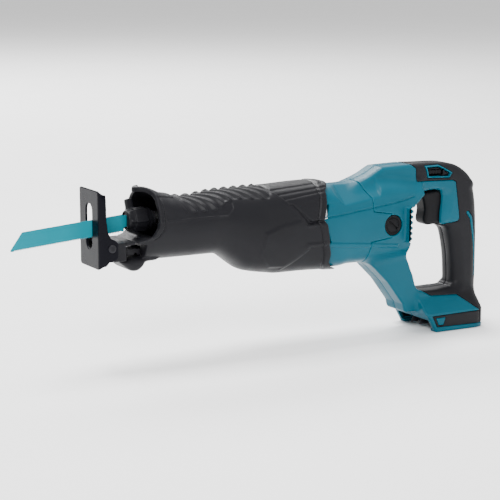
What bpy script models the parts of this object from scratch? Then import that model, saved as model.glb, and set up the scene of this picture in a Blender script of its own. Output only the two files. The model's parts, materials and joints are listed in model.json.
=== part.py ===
"""Cordless reciprocating saw, built as the separate pieces that it comes apart into.

The shape functions work in millimetres, and make_object turns them into metres.
Axes: +X runs from the shoe back to the grip, +Y is the tool's right-hand side, +Z is up.
Tool coordinates start on the slider's axis, just behind the front face of the shoe and in the
plane where the two handle halves meet. An empty then puts the origin under the middle of the tool.
"""

import math

import bmesh
import bpy

MM = 0.001
GAP = 0.3  # between two pieces that touch

# Overall limits
BLADE_TIP_X = -89.0
GRIP_REAR_X = 486.0
FOOT_BOTTOM_Z = -154.5

# Drive train
STROKE = 32.0
CRANK_X = 218.0
CRANK_THROW = STROKE / 2
PIN_ROLLER_RADIUS = 6.0
GEAR_TEETH = 28
PINION_TEETH = 7
GEAR_PITCH_RADIUS = 26.0
PINION_PITCH_RADIUS = GEAR_PITCH_RADIUS * PINION_TEETH / GEAR_TEETH
MOTOR_Z = -24.0
MOTOR_SHAFT_RADIUS = 4.0
SLIDER_RADIUS = 7.0
# The slider is tied to the crank at a constant ratio, so its slot is widened by the most that
# a cosine stroke runs ahead of or behind a linear one.
STROKE_MISMATCH = CRANK_THROW * (1 - math.sqrt(1 - 4 / math.pi**2))
STROKE_MISMATCH -= STROKE * math.asin(2 / math.pi) / math.pi
YOKE_SLOT_HALF = PIN_ROLLER_RADIUS + abs(STROKE_MISMATCH) + GAP

# Shoe
SHOE_FACE_X = -1.8
SHOE_HALF_WIDTH = 27.8
SHOE_TOP_Z = 36.0
SHOE_BOTTOM_Z = -45.5
SHOE_SHEET = 2.2
SHOE_PIVOT = (11.5, -23.5)  # X, Z
BRACKET_HALF_WIDTH = SHOE_HALF_WIDTH - SHOE_SHEET - 0.4

# Housings: X, top Z, bottom Z, half width
BOOT_STATIONS = (
    (50.0, 31.5, -42.0, 30.5),
    (54.0, 34.2, -42.3, 32.5),
    (61.0, 33.5, -42.4, 33.5),
    (68.0, 31.2, -42.4, 34.0),
    (77.0, 26.3, -42.4, 34.0),
    (87.0, 25.6, -42.4, 34.0),
    (99.0, 21.6, -42.4, 34.0),
    (117.0, 21.8, -42.4, 34.0),
    (137.0, 24.9, -42.4, 34.0),
    (146.0, 25.7, -45.5, 34.5),
    (161.0, 25.7, -57.0, 36.5),
    (170.0, 25.7, -63.6, 38.2),
    (183.0, 25.6, -66.8, 39.6),
    (210.0, 25.7, -71.2, 40.5),
    (253.0, 27.2, -70.8, 40.5),
    (268.2, 25.5, -71.2, 40.0),
)
MOTOR_STATIONS = (
    (268.5, 22.0, -70.6, 37.6),
    (282.0, 21.2, -70.8, 37.2),
    (298.0, 21.2, -68.6, 36.8),
    (322.7, 22.5, -68.6, 36.5),
)
REAR_STATIONS = (
    (323.0, 22.5, -68.6, 36.5),
    (352.0, 25.0, -67.0, 36.5),
    (380.0, 22.0, -64.0, 35.0),
    (393.0, 14.0, -60.0, 28.0),
)
BOOT_WALL = 3.0
CASTING_WALL = 3.0
SECTION_POWER = 2.35
SECTION_POINTS = 32

# Handle, in the XZ plane
HANDLE_HALF_WIDTH = 17.5
GRIP_SKIN = 2.4
FOOT_HALF_WIDTH = 37.0
HANDLE_TOP = ((323.0, 23.5), (330.0, 28.0), (346.0, 36.4), (382.0, 37.6), (392.0, 37.9))
GRIP_BACK = (
    (430.0, 37.0),
    (442.0, 35.4),
    (454.0, 31.0),
    (467.0, 21.5),
    (476.5, 8.0),
    (481.5, -7.7),
    (484.5, -31.0),
    (GRIP_REAR_X, -60.0),
    (GRIP_REAR_X, -95.0),
    (485.0, -112.0),
)
STRUT_FRONT = ((378.0, -131.0), (375.7, -120.9), (355.5, -93.6), (333.0, -72.4), (323.0, -66.0))
WINDOW_FRONT = (
    (404.0, 4.0),
    (396.9, -4.1),
    (394.0, -10.0),
    (392.6, -63.0),
    (393.4, -71.6),
    (398.7, -86.7),
    (406.8, -107.6),
)
WINDOW_BACK = (
    (437.0, -109.3),
    (442.4, -106.3),
    (443.4, -99.5),
    (441.5, -73.9),
    (438.4, -55.4),
    (434.9, -40.9),
    (434.0, -36.0),
    (434.0, 4.0),
)

# Edge between the soft grip and the hard plastic, from the handle's top to the window
GRIP_EDGE = ((392.0, 18.0), (448.0, 16.0), (452.0, -31.0))

COLOURS = {
    "teal": ((0.0, 0.195, 0.265), 0.42, 0.0),
    "soft_black": ((0.026, 0.026, 0.031), 0.62, 0.0),
    "gloss_black": ((0.012, 0.012, 0.018), 0.25, 0.0),
    "blade_teal": ((0.0, 0.38, 0.50), 0.38, 0.1),
    "dark_steel": ((0.09, 0.09, 0.10), 0.42, 0.8),
    "steel": ((0.55, 0.56, 0.58), 0.32, 1.0),
    "aluminium": ((0.66, 0.67, 0.68), 0.45, 1.0),
    "copper": ((0.72, 0.38, 0.20), 0.35, 1.0),
    "bronze": ((0.55, 0.36, 0.16), 0.4, 1.0),
    "carbon": ((0.03, 0.03, 0.03), 0.7, 0.2),
    "ferrite": ((0.05, 0.05, 0.055), 0.6, 0.3),
    "felt": ((0.12, 0.11, 0.10), 0.95, 0.0),
    "switch_plastic": ((0.04, 0.04, 0.045), 0.5, 0.0),
}
bodies = {}


def clear_scene():
    for obj in list(bpy.context.scene.objects):
        bpy.data.objects.remove(obj)


def material(name):
    """The named Principled BSDF, made once."""
    if name in bpy.data.materials:
        return bpy.data.materials[name]
    colour, roughness, metallic = COLOURS[name]
    made = bpy.data.materials.new(name)
    made.use_nodes = True
    shader = made.node_tree.nodes["Principled BSDF"]
    shader.inputs["Base Color"].default_value = (*colour, 1.0)
    shader.inputs["Roughness"].default_value = roughness
    shader.inputs["Metallic"].default_value = metallic
    made.diffuse_color = (*colour, 1.0)
    return made


def make_body(name, joint=(0.0, 0.0, 0.0), parent=None):
    """An empty on the joint of a moving body, or at the origin for the fixed one."""
    empty = bpy.data.objects.new(f"{name}_joint", None)
    bpy.context.scene.collection.objects.link(empty)
    if parent:
        empty.parent = bodies[parent]
        offset = [a - b for a, b in zip(joint, bodies[parent]["joint"])]
        empty.location = [value * MM for value in offset]
    else:
        middle = (BLADE_TIP_X + GRIP_REAR_X) / 2
        empty.location = (-middle * MM, 0.0, -FOOT_BOTTOM_Z * MM)
    empty["joint"] = list(joint)
    bodies[name] = empty


def make_object(name, points, faces, look, body):
    """A closed mesh from points in tool millimetres, facing out, on the joint of its body."""
    mesh = bpy.data.meshes.new(name)
    joint = bodies[body]["joint"]
    shifted = [[(a - b) * MM for a, b in zip(point, joint)] for point in points]
    mesh.from_pydata(shifted, [], faces)
    work = bmesh.new()
    work.from_mesh(mesh)
    bmesh.ops.recalc_face_normals(work, faces=work.faces)
    if work.calc_volume(signed=True) < 0:
        bmesh.ops.reverse_faces(work, faces=work.faces)
    work.to_mesh(mesh)
    work.free()
    obj = bpy.data.objects.new(name, mesh)
    bpy.context.scene.collection.objects.link(obj)
    obj.parent = bodies[body]
    mesh.materials.append(material(look))
    mesh.shade_smooth()
    mesh.set_sharp_from_angle(angle=math.radians(30))
    return obj


def realise(obj):
    """Turns an object's modifiers into its mesh."""
    graph = bpy.context.evaluated_depsgraph_get()
    made = bpy.data.meshes.new_from_object(obj.evaluated_get(graph))
    look = obj.data.materials[0]
    obj.modifiers.clear()
    obj.data = made
    made.materials.clear()
    made.materials.append(look)
    made.shade_smooth()
    made.set_sharp_from_angle(angle=math.radians(30))


def combine(target, tool, operation):
    """Joins a tool shape to the target, or cuts it out, and removes the tool."""
    step = target.modifiers.new(operation.lower(), "BOOLEAN")
    step.operation = operation
    step.solver = "EXACT"
    step.object = tool
    realise(target)
    bpy.data.objects.remove(tool)


def cut(target, tool):
    combine(target, tool, "DIFFERENCE")


def join(target, tool):
    combine(target, tool, "UNION")


def round_edges(obj, width, segments=2, angle=35):
    """A bevel on every edge sharper than the angle."""
    step = obj.modifiers.new("round", "BEVEL")
    step.width = width * MM
    step.segments = segments
    step.limit_method = "ANGLE"
    step.angle_limit = math.radians(angle)


def loft(name, loops, look, body):
    """A closed solid through loops of equal length, with its two ends capped."""
    count = len(loops[0])
    points = [point for loop in loops for point in loop]
    faces = [list(range(count)), list(range(len(points) - count, len(points)))]
    for row in range(len(loops) - 1):
        faces += band(row * count, (row + 1) * count, count)
    return make_object(name, points, faces, look, body)


def shell(name, loops, look, body):
    """A closed ring of loops: each one joins the next, and the last joins the first."""
    count = len(loops[0])
    points = [point for loop in loops for point in loop]
    faces = []
    for row in range(len(loops)):
        faces += band(row * count, (row + 1) % len(loops) * count, count)
    return make_object(name, points, faces, look, body)


def band(first, second, count):
    """The quads between two loops of points."""
    quads = []
    for i in range(count):
        following = (i + 1) % count
        quads.append([first + i, first + following, second + following, second + i])
    return quads


AXES = {
    "X": lambda u, v, along: (along, u, v),
    "Y": lambda u, v, along: (u, along, v),
    "Z": lambda u, v, along: (u, v, along),
}


def circle(centre, radius, along, axis="X", count=24, phase=0.0):
    """Points round an axis. The centre is given in the two other coordinates, in order."""
    loop = []
    for i in range(count):
        angle = 2 * math.pi * i / count + phase
        u = centre[0] + radius * math.cos(angle)
        v = centre[1] + radius * math.sin(angle)
        loop.append(AXES[axis](u, v, along))
    return loop


def turned(name, profile, centre, axis, look, body, count=24, hollow=False):
    """A solid turned about an axis from (along, radius) points. A hollow one is a closed ring."""
    loops = [circle(centre, radius, along, axis, count) for along, radius in profile]
    return (shell if hollow else loft)(name, loops, look, body)


def ring(name, span, radii, centre, axis, look, body, count=24):
    """A plain bush: (low, high) along the axis, (inner, outer) radius."""
    low, high = span
    inner, outer = radii
    profile = ((low, inner), (low, outer), (high, outer), (high, inner))
    return turned(name, profile, centre, axis, look, body, count, hollow=True)


def prism(name, outline, span, axis, look, body):
    """An outline pushed along an axis from the low to the high end of the span."""
    place = AXES[axis]
    loops = [[place(u, v, along) for u, v in outline] for along in span]
    return loft(name, loops, look, body)


def framed(name, outer, inner, span, axis, look, body):
    """A prism with a hole: outer and inner outlines have the same number of points."""
    place = AXES[axis]
    low, high = span
    sides = ((outer, low), (outer, high), (inner, high), (inner, low))
    loops = [[place(u, v, along) for u, v in outline] for outline, along in sides]
    return shell(name, loops, look, body)


def box(name, low, high, look, body):
    outline = ((low[0], low[2]), (high[0], low[2]), (high[0], high[2]), (low[0], high[2]))
    return prism(name, outline, (low[1], high[1]), "Y", look, body)


def station_at(stations, x):
    """Top, bottom and half width of a housing at x, on straight lines between its stations."""
    if x <= stations[0][0]:
        return stations[0][1:]
    for before, after in zip(stations, stations[1:]):
        if x <= after[0]:
            share = (x - before[0]) / (after[0] - before[0])
            return [a + (b - a) * share for a, b in zip(before[1:], after[1:])]
    return stations[-1][1:]


def section(stations, x, inset=0.0, first=0.0, last=360.0, count=SECTION_POINTS):
    """A housing's rounded section at x, from one angle to another. Angle 0 points to +Y."""
    top, bottom, half_width = station_at(stations, x)
    middle = (top + bottom) / 2
    half_height = (top - bottom) / 2 - inset
    half_width -= inset
    whole_turn = last - first == 360
    steps = count if whole_turn else count - 1
    loop = []
    for i in range(count):
        angle = math.radians(first + (last - first) * i / steps)
        c, s = math.cos(angle), math.sin(angle)
        y = half_width * math.copysign(abs(c) ** (2 / SECTION_POWER), c)
        z = middle + half_height * math.copysign(abs(s) ** (2 / SECTION_POWER), s)
        loop.append((x, y, z))
    return loop


def stations_between(stations, low, high):
    """The x values of the stations inside a span, with both ends of the span."""
    inside = [station[0] for station in stations if low < station[0] < high]
    return [low, *inside, high]


def rounded(low, high, radius, steps=3):
    """A rectangle with round corners, from its low and high corners."""
    centres = (
        (high[0] - radius, high[1] - radius),
        (low[0] + radius, high[1] - radius),
        (low[0] + radius, low[1] + radius),
        (high[0] - radius, low[1] + radius),
    )
    outline = []
    for corner, centre in enumerate(centres):
        for step in range(steps + 1):
            angle = math.pi / 2 * (corner + step / steps)
            outline.append((centre[0] + radius * math.cos(angle), centre[1] + radius * math.sin(angle)))
    return outline


def offset_outline(outline, distance):
    """The outline moved outwards (or inwards, if negative) along its corners. It runs clockwise."""
    moved = []
    count = len(outline)
    for i, (x, z) in enumerate(outline):
        before, after = outline[i - 1], outline[(i + 1) % count]
        normals = []
        for start, end in ((before, (x, z)), ((x, z), after)):
            run, rise = end[0] - start[0], end[1] - start[1]
            length = math.hypot(run, rise)
            normals.append((-rise / length, run / length))
        nx, nz = normals[0][0] + normals[1][0], normals[0][1] + normals[1][1]
        scale = distance / (1 + normals[0][0] * normals[1][0] + normals[0][1] * normals[1][1])
        moved.append((x + nx * scale, z + nz * scale))
    return moved


# ---------------------------------------------------------------- blade and slider


def make_saw_blade():
    """The blade leans down 4.9 degrees from the slider's axis, and its shank sits in the clamp."""
    cant = math.radians(4.9)
    root_x, root_z = 36.0, -2.75
    half_height = 9.0
    upper_length = 110.0
    lower_length = (root_x - BLADE_TIP_X - half_height * math.sin(cant)) / math.cos(cant)
    shank_length = 23.0
    shank_low, shank_high = -4.3, 7.7
    outline = (
        (0.0, half_height),
        (-2.0, shank_high),
        (-shank_length, shank_high),
        (-shank_length, shank_low),
        (-1.0, shank_low),
        (0.0, -half_height),
        (lower_length, -half_height),
        (upper_length, half_height),
    )
    leaned = []
    for u, v in outline:
        x = root_x - u * math.cos(cant) - v * math.sin(cant)
        z = root_z - u * math.sin(cant) + v * math.cos(cant)
        leaned.append((x, z))
    leaned[6] = (BLADE_TIP_X, leaned[6][1])
    prism("saw_blade", leaned, (-0.6, 0.6), "Y", "blade_teal", "slider")


def make_slider():
    """The rod, its clamp body at the front and the yoke that the crank pin drives."""
    clamp_front, clamp_back = 40.0, 70.0
    clamp = turned(
        "clamp_body",
        ((clamp_front, 7.2), (clamp_front + 1, 8.0), (clamp_back, 8.0)),
        (0, 0), "X", "steel", "slider",
    )
    slot = box("slot", (clamp_front - 4, -0.95, -9), (62.5, 0.95, 9), "steel", "slider")
    cut(clamp, slot)
    yoke_front = CRANK_X - CRANK_THROW - YOKE_SLOT_HALF - 6
    turned(
        "slider_rod",
        ((clamp_back + GAP, SLIDER_RADIUS), (yoke_front - GAP, SLIDER_RADIUS)),
        (0, 0), "X", "steel", "slider",
    )
    pin_x = CRANK_X - CRANK_THROW
    slot_half_length = CRANK_THROW + PIN_ROLLER_RADIUS + 0.5
    half_length = slot_half_length + 3.5
    outer = rounded((yoke_front, -half_length), (pin_x + YOKE_SLOT_HALF + 6, half_length), 8)
    inner = rounded(
        (pin_x - YOKE_SLOT_HALF, -slot_half_length), (pin_x + YOKE_SLOT_HALF, slot_half_length), 4
    )
    framed("slider_yoke", outer, inner, (-5, 5), "Z", "steel", "slider")


def make_clamp_sleeve():
    """The sleeve that turns about the slider to free the blade, with its lever."""
    profile = ((38.5, 8.45), (38.5, 10.2), (40.5, 11.2), (60, 12.4), (66, 12.4), (66, 8.45))
    sleeve = turned("clamp_sleeve", profile, (0, 0), "X", "dark_steel", "clamp_sleeve", hollow=True)
    lever = prism(
        "lever", ((-2.5, 9.5), (2.5, 9.5), (3.0, 20.5), (1.5, 22.0), (-1.5, 22.0), (-3.0, 20.5)),
        (42.0, 50.0), "X", "dark_steel", "clamp_sleeve",
    )
    lean = math.radians(22)
    for vertex in lever.data.vertices:
        y, z = vertex.co.y, vertex.co.z
        vertex.co.y = y * math.cos(lean) + z * math.sin(lean)
        vertex.co.z = z * math.cos(lean) - y * math.sin(lean)
    join(sleeve, lever)


# ---------------------------------------------------------------- shoe


def make_shoe():
    """A bent steel plate with a slot for the blade and two ears on the pivot pin."""
    bend = 4.0
    flange = 21.0
    steps = 4

    def channel(inset):
        """One side of the U section, seen from above: Y outwards, X back."""
        side = []
        for step in range(steps + 1):
            angle = math.pi / 2 * step / steps
            radius = bend - inset
            x = SHOE_FACE_X + bend - radius * math.cos(angle)
            side.append((x, SHOE_HALF_WIDTH - bend + radius * math.sin(angle)))
        return [*side, (flange, SHOE_HALF_WIDTH - inset)]

    outside, inside = channel(0.0), channel(SHOE_SHEET)
    right = outside + inside[::-1]
    outline = right + [(x, -y) for x, y in right[::-1]]
    plate = prism("shoe_plate", outline, (SHOE_BOTTOM_Z, SHOE_TOP_Z), "Z", "gloss_black", "shoe")
    # Side outline of the flanges: narrow above, with an ear round the pivot below.
    edge = 5.6
    ear_back = 18.5
    side = (
        (-5.0, SHOE_BOTTOM_Z - 1),
        (edge, SHOE_BOTTOM_Z - 1),
        (6.0, -42.0),
        (8.0, -38.6),
        (ear_back - 2, -36.2),
        (ear_back, -34.2),
        (ear_back, -17.6),
        (ear_back - 2.5, -15.4),
        (9.6, -12.0),
        (6.8, -5.0),
        (edge, 4.0),
        (edge, SHOE_TOP_Z + 1),
        (-5.0, SHOE_TOP_Z + 1),
    )
    keep = prism("keep", side, (-30, 30), "Y", "gloss_black", "shoe")
    combine(plate, keep, "INTERSECT")
    slot = rounded((-7.5, -26), (7.5, 21), 7.3, steps=5)
    cut(plate, prism("slot", slot, (-6, 6), "X", "gloss_black", "shoe"))
    hole = circle(SHOE_PIVOT, 3.35, 0, "Y", 16)
    cut(plate, prism("hole", [(x, z) for x, _, z in hole], (-30, 30), "Y", "gloss_black", "shoe"))


def make_shoe_slide():
    """The bracket that the shoe turns on, its pin, and the notched bar that slides in the nose."""
    front, back, sheet = 6.2, 30.0, 2.8
    outer, inner = BRACKET_HALF_WIDTH, BRACKET_HALF_WIDTH - sheet
    ears = (
        (front, -outer), (back, -outer), (back, outer), (front, outer), (front, inner),
        (back - sheet, inner), (back - sheet, -inner), (front, -inner),
    )
    bracket = prism("shoe_bracket", ears, (-38, -18.9), "Z", "dark_steel", "shoe_slide")
    hole = circle(SHOE_PIVOT, 3.3, 0, "Y", 16)
    cut(bracket, prism("hole", [(x, z) for x, _, z in hole], (-30, 30), "Y", "steel", "shoe_slide"))
    seat = SHOE_HALF_WIDTH + GAP
    head = ((seat, 3.0), (seat, 4.4), (seat + 1.3, 3.8), (seat + 1.7, 2.2))
    profile = [(-along, radius) for along, radius in head[::-1]] + list(head)
    turned("shoe_pivot_pin", profile, SHOE_PIVOT, "Y", "steel", "shoe_slide", count=16)
    bar_front, bar_back = 30.3, 86.0
    bar_low, bar_high = -35.5, -29.5
    notches = 5
    pitch = 7.5
    outline = [(bar_front, bar_high), (bar_back, bar_high), (bar_back, bar_low)]
    for notch in range(notches):
        x = bar_back - 8 - notch * pitch
        outline += [(x, bar_low), (x - 0.8, bar_low + 2.2), (x - 3.2, bar_low + 2.2), (x - 4, bar_low)]
    outline.append((bar_front, bar_low))
    prism("shoe_slide_bar", outline, (-9, 9), "Y", "steel", "shoe_slide")


def make_shoe_lock():
    """The cross button in the chin that locks the slide bar."""
    turned(
        "shoe_lock_button", ((-11.2, 3.8), (-10.6, 4.6), (23.4, 4.6), (24.0, 3.8)),
        (41.0, -43.0), "Y", "soft_black", "shoe_lock", count=16,
    )
    channel = (
        (-11.3, -37.2), (11.3, -37.2), (11.3, -28.0), (9.3, -28.0), (9.3, -35.8), (-9.3, -35.8),
        (-9.3, -28.0), (-11.3, -28.0),
    )
    prism("shoe_guide", channel, (64.4, 86.0), "X", "steel", "root")


# ---------------------------------------------------------------- front housings


def make_front_boot():
    """The soft cover: a hood over the clamp, a scooped mouth, a chin and the bulge over the crank."""
    xs = stations_between(BOOT_STATIONS, BOOT_STATIONS[0][0], BOOT_STATIONS[-1][0])
    boot = loft("front_boot", [section(BOOT_STATIONS, x) for x in xs], "soft_black", "root")
    chin = (
        (24.0, -40.3), (32.0, -47.0), (36.5, -50.2), (41.0, -51.2), (46.0, -50.3), (51.0, -46.6),
        (54.5, -42.4), (64.0, -41.6), (64.0, -38.0), (35.0, -38.0), (34.0, -38.9), (24.6, -38.9),
    )
    join(boot, prism("chin", chin, (-20, 20), "Y", "soft_black", "root"))
    mouth_ends = ((45.0, 27.5), (64.0, 29.5))
    loops = []
    for x, top in mouth_ends:
        mouth = ((x, top, -19.5, 29.0),)
        loops.append(section(mouth, x))
    cavity_start = 64.2
    for x in stations_between(BOOT_STATIONS, cavity_start, 270.0):
        loops.append(section(BOOT_STATIONS, x, BOOT_WALL))
    cut(boot, loft("cavity", loops, "soft_black", "root"))
    scoop = (
        (44.0, 28.0), (53.0, 27.0), (59.0, 24.0), (62.0, 15.0), (62.8, 5.0), (61.5, -6.0), (56.0, -14.4),
        (49.0, -18.5), (44.0, -18.5),
    )
    cut(boot, prism("scoop", scoop, (-60, 60), "Y", "soft_black", "root"))
    cut(boot, box("bar_way", (40, -11.7, -37.5), (70, 11.7, -18), "soft_black", "root"))
    hole = circle((41.0, -43.0), 4.95, 0, "Y", 16)
    cut(boot, prism("hole", [(x, z) for x, _, z in hole], (-15.5, 24), "Y", "soft_black", "root"))


def make_gear_housing():
    """The cast nose that holds the slider's bush, and the lower and upper halves over the crank."""
    clearance = BOOT_WALL + GAP + 0.2
    inner = clearance + CASTING_WALL
    nose_front, web_front, web_back, nose_back = 104.0, 110.0, 138.0, 151.7
    nose_xs = stations_between(BOOT_STATIONS, nose_front, nose_back)
    outside = [section(BOOT_STATIONS, x, clearance) for x in nose_xs]
    bore = [circle((0, 0), 10.3, x, "X", SECTION_POINTS) for x in (web_back, web_front)]
    loops = [
        *outside,
        section(BOOT_STATIONS, nose_back, inner),
        section(BOOT_STATIONS, 146.0, inner),
        section(BOOT_STATIONS, web_back, inner),
        *bore,
        section(BOOT_STATIONS, web_front, inner),
        section(BOOT_STATIONS, nose_front, inner),
    ]
    shell("gear_housing_nose", loops, "aluminium", "root")
    halves = (("gear_housing_lower", 181.0, 359.0), ("gear_housing_cover", 1.0, 179.0))
    xs = stations_between(BOOT_STATIONS, nose_back + GAP, 256.0)
    for name, first, last in halves:
        loops = []
        for x in xs:
            outer = section(BOOT_STATIONS, x, clearance, first, last, 17)
            within = section(BOOT_STATIONS, x, inner, first, last, 17)
            loops.append(outer + within[::-1])
        loft(name, loops, "aluminium", "root")
    bore_radius = SLIDER_RADIUS + 0.1
    ring("slide_bush", (web_front, web_back), (bore_radius, 10.0), (0, 0), "X", "bronze", "root")
    seal_span = (web_front - 6, web_front - GAP)
    ring("rod_seal", seal_span, (bore_radius, 12.0), (0, 0), "X", "felt", "root")


def make_bearings():
    for name, low in (("crank_bearing_upper", -32.0), ("crank_bearing_lower", -58.0)):
        ring(name, (low, low + 9), (5.3, 11.0), (CRANK_X, 0), "Z", "steel", "root")
    motor = (0, MOTOR_Z)
    bore = MOTOR_SHAFT_RADIUS + GAP
    ring("armature_bearing_front", (257.0, 265.0), (bore, 11.0), motor, "X", "steel", "root")
    ring("armature_bearing_rear", (379.0, 386.0), (bore, 8.0), motor, "X", "steel", "root")
    outer = [(y, z) for _, y, z in section(BOOT_STATIONS, 260.0, BOOT_WALL + 2 * GAP)]
    inner = [(y, z) for _, y, z in circle(motor, 11.0 + GAP, 0, "X", SECTION_POINTS)]
    framed("bearing_bracket", outer, inner, (258.0, 263.0), "X", "aluminium", "root")


# ---------------------------------------------------------------- crank


def make_crank_gear():
    """A bevel gear whose teeth face down. Teeth and depth shrink towards the common apex."""
    inner_radius, outer_radius = 23.0, 29.5
    tip_drop, root_drop = PINION_PITCH_RADIUS - 1.0, PINION_PITCH_RADIUS + 1.7
    top_z = -10.0
    bore = 5.3
    tooth_share = 0.36
    pitch = 2 * math.pi / GEAR_TEETH

    def toothed(radius):
        loop = []
        scale = radius / GEAR_PITCH_RADIUS
        for tooth in range(GEAR_TEETH):
            middle = (tooth + 0.5) * pitch
            for side, drop in ((-1.0, root_drop), (-0.7, tip_drop), (0.7, tip_drop), (1.0, root_drop)):
                angle = middle + side * tooth_share * pitch / 2
                x = CRANK_X + radius * math.cos(angle)
                loop.append((x, radius * math.sin(angle), MOTOR_Z + drop * scale))
        return loop

    count = 4 * GEAR_TEETH
    flat = MOTOR_Z + root_drop * inner_radius / GEAR_PITCH_RADIUS
    loops = [
        circle((CRANK_X, 0), bore, flat, "Z", count),
        toothed(inner_radius),
        toothed(outer_radius),
        circle((CRANK_X, 0), outer_radius, top_z, "Z", count),
        circle((CRANK_X, 0), bore, top_z, "Z", count),
    ]
    shell("crank_gear", loops, "steel", "crank")


def make_crank():
    make_crank_gear()
    centre = (CRANK_X, 0)
    turned("crankshaft", ((-62, 4.4), (-61.4, 5.0), (-10.2, 5.0)), centre, "Z", "steel", "crank")
    pin = (CRANK_X - CRANK_THROW, 0)
    turned("crank_pin", ((-9.7, 6.0), (-8.0, 6.0), (-8.0, 4.0), (7.2, 4.0)), pin, "Z", "steel", "crank")
    ring("crank_roller", (-7.6, 6.4), (4.3, PIN_ROLLER_RADIUS), pin, "Z", "steel", "crank")


# ---------------------------------------------------------------- motor


def make_pinion():
    """The bevel pinion, with a tooth pointing up into the gap of the crank gear at rest."""
    tooth_share = 0.34
    root, tip = PINION_PITCH_RADIUS - 1.5, PINION_PITCH_RADIUS + 1.1
    bore = MOTOR_SHAFT_RADIUS * 0.8 + GAP
    pitch = 2 * math.pi / PINION_TEETH

    def toothed(distance):
        scale = distance / GEAR_PITCH_RADIUS
        loop = []
        for tooth in range(PINION_TEETH):
            middle = math.pi / 2 + tooth * pitch
            for side, radius in ((-1.0, root), (-0.6, tip), (0.6, tip), (1.0, root)):
                angle = middle + side * tooth_share * pitch / 2
                y = radius * scale * math.cos(angle)
                loop.append((CRANK_X + distance, y, MOTOR_Z + radius * scale * math.sin(angle)))
        return loop

    count = 4 * PINION_TEETH
    ends = (23.0, 29.5)
    phase = math.pi / 2 - tooth_share * pitch / 2
    bores = [circle((0, MOTOR_Z), bore, CRANK_X + end, "X", count, phase) for end in ends[::-1]]
    shell("drive_pinion", [toothed(ends[0]), toothed(ends[1]), *bores], "steel", "armature")


def make_armature():
    motor = (0, MOTOR_Z)
    radius = MOTOR_SHAFT_RADIUS
    thin = radius * 0.8
    shaft = ((240.0, thin - 0.4), (240.6, thin), (249.0, thin), (249.0, radius), (386.0, radius))
    turned("armature_shaft", shaft, motor, "X", "steel", "armature", count=16)
    bore = radius + GAP
    ring("armature_core", (294.0, 334.0), (bore, 20.4), motor, "X", "dark_steel", "armature")
    ring("commutator", (342.0, 357.0), (bore, 11.0), motor, "X", "copper", "armature")
    make_fan(motor, bore)
    make_pinion()


def make_fan(motor, bore):
    """A hub with blades that lean, cut from one outline."""
    blades = 12
    hub, tip = 13.0, 31.0
    outline = []
    for blade in range(blades):
        start = 2 * math.pi * blade / blades
        for radius, turn in ((hub, 0.0), (tip, 0.16), (tip, 0.26), (hub, 0.14)):
            outline.append((radius * math.cos(start + turn), MOTOR_Z + radius * math.sin(start + turn)))
    inner = [(y, z) for _, y, z in circle(motor, bore, 0, "X", 4 * blades)]
    framed("cooling_fan", outline, inner, (269.0, 282.0), "X", "switch_plastic", "armature")


def arc_block(name, radii, first, last, span, look, body, count=9):
    """A curved block round the motor's axis, such as a magnet."""
    inner, outer = radii
    loops = []
    for x in span:
        loop = []
        for radius, order in ((outer, range(count)), (inner, reversed(range(count)))):
            for i in order:
                angle = math.radians(first + (last - first) * i / (count - 1))
                loop.append((x, radius * math.cos(angle), MOTOR_Z + radius * math.sin(angle)))
        loops.append(loop)
    return loft(name, loops, look, body)


def make_motor():
    motor = (0, MOTOR_Z)
    ring("motor_yoke", (288.0, 340.0), (25.6, 28.4), motor, "X", "dark_steel", "root")
    arc_block("magnet_right", (21.2, 25.2), -58, 58, (292.0, 336.0), "ferrite", "root")
    arc_block("magnet_left", (21.2, 25.2), 122, 238, (292.0, 336.0), "ferrite", "root")
    brush_x = 349.5
    for side, sign in (("left", -1), ("right", 1)):
        outer = rounded((brush_x - 6, MOTOR_Z - 6), (brush_x + 6, MOTOR_Z + 6), 1, 1)
        inner = rounded((brush_x - 3.8, MOTOR_Z - 3.8), (brush_x + 3.8, MOTOR_Z + 3.8), 0.4, 1)
        span = (sign * 13.0, sign * 28.6)
        framed(f"brush_holder_{side}", outer, inner, span, "Y", "bronze", "root")
        low = (brush_x - 3.4, min(sign * 11.5, sign * 23), MOTOR_Z - 3.4)
        high = (brush_x + 3.4, max(sign * 11.5, sign * 23), MOTOR_Z + 3.4)
        box(f"carbon_brush_{side}", low, high, "carbon", "root")
        steps = ((29.2, 8.0), (31.5, 11.3), (35.6, 11.3), (36.2, 10.5))
        profile = [(sign * along, cap_radius) for along, cap_radius in steps]
        centre = (brush_x, MOTOR_Z - 1.5)
        cap = turned(f"brush_cap_{side}", profile, centre, "Y", "soft_black", "root")
        groove = sorted((sign * 35.0, sign * 40.0))
        low = (brush_x - 8.0, groove[0], MOTOR_Z - 2.7)
        cut(cap, box("groove", low, (brush_x + 8.0, groove[1], MOTOR_Z - 0.3), "soft_black", "root"))


def make_motor_housing():
    xs = stations_between(MOTOR_STATIONS, MOTOR_STATIONS[0][0], MOTOR_STATIONS[-1][0])
    outside = [section(MOTOR_STATIONS, x) for x in xs]
    inside = [section(MOTOR_STATIONS, x, 3.2) for x in reversed(xs)]
    shell("motor_housing", outside + inside, "teal", "root")


# ---------------------------------------------------------------- handle


def foot_plan(front, half_width, rear_radius, z, back=484.0):
    """The foot seen from above at a height, with its rear corners rounded."""
    front_radius = 3.0
    steps = 4
    loop = []
    corners = (
        (back - rear_radius, half_width - rear_radius, rear_radius, 0),
        (front + front_radius, half_width - front_radius, front_radius, 1),
        (front + front_radius, front_radius - half_width, front_radius, 2),
        (back - rear_radius, rear_radius - half_width, rear_radius, 3),
    )
    for x, y, radius, quarter in corners:
        for step in range(steps + 1):
            angle = math.pi / 2 * (quarter + step / steps)
            loop.append((x + radius * math.cos(angle), y + radius * math.sin(angle), z))
    return loop


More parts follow.
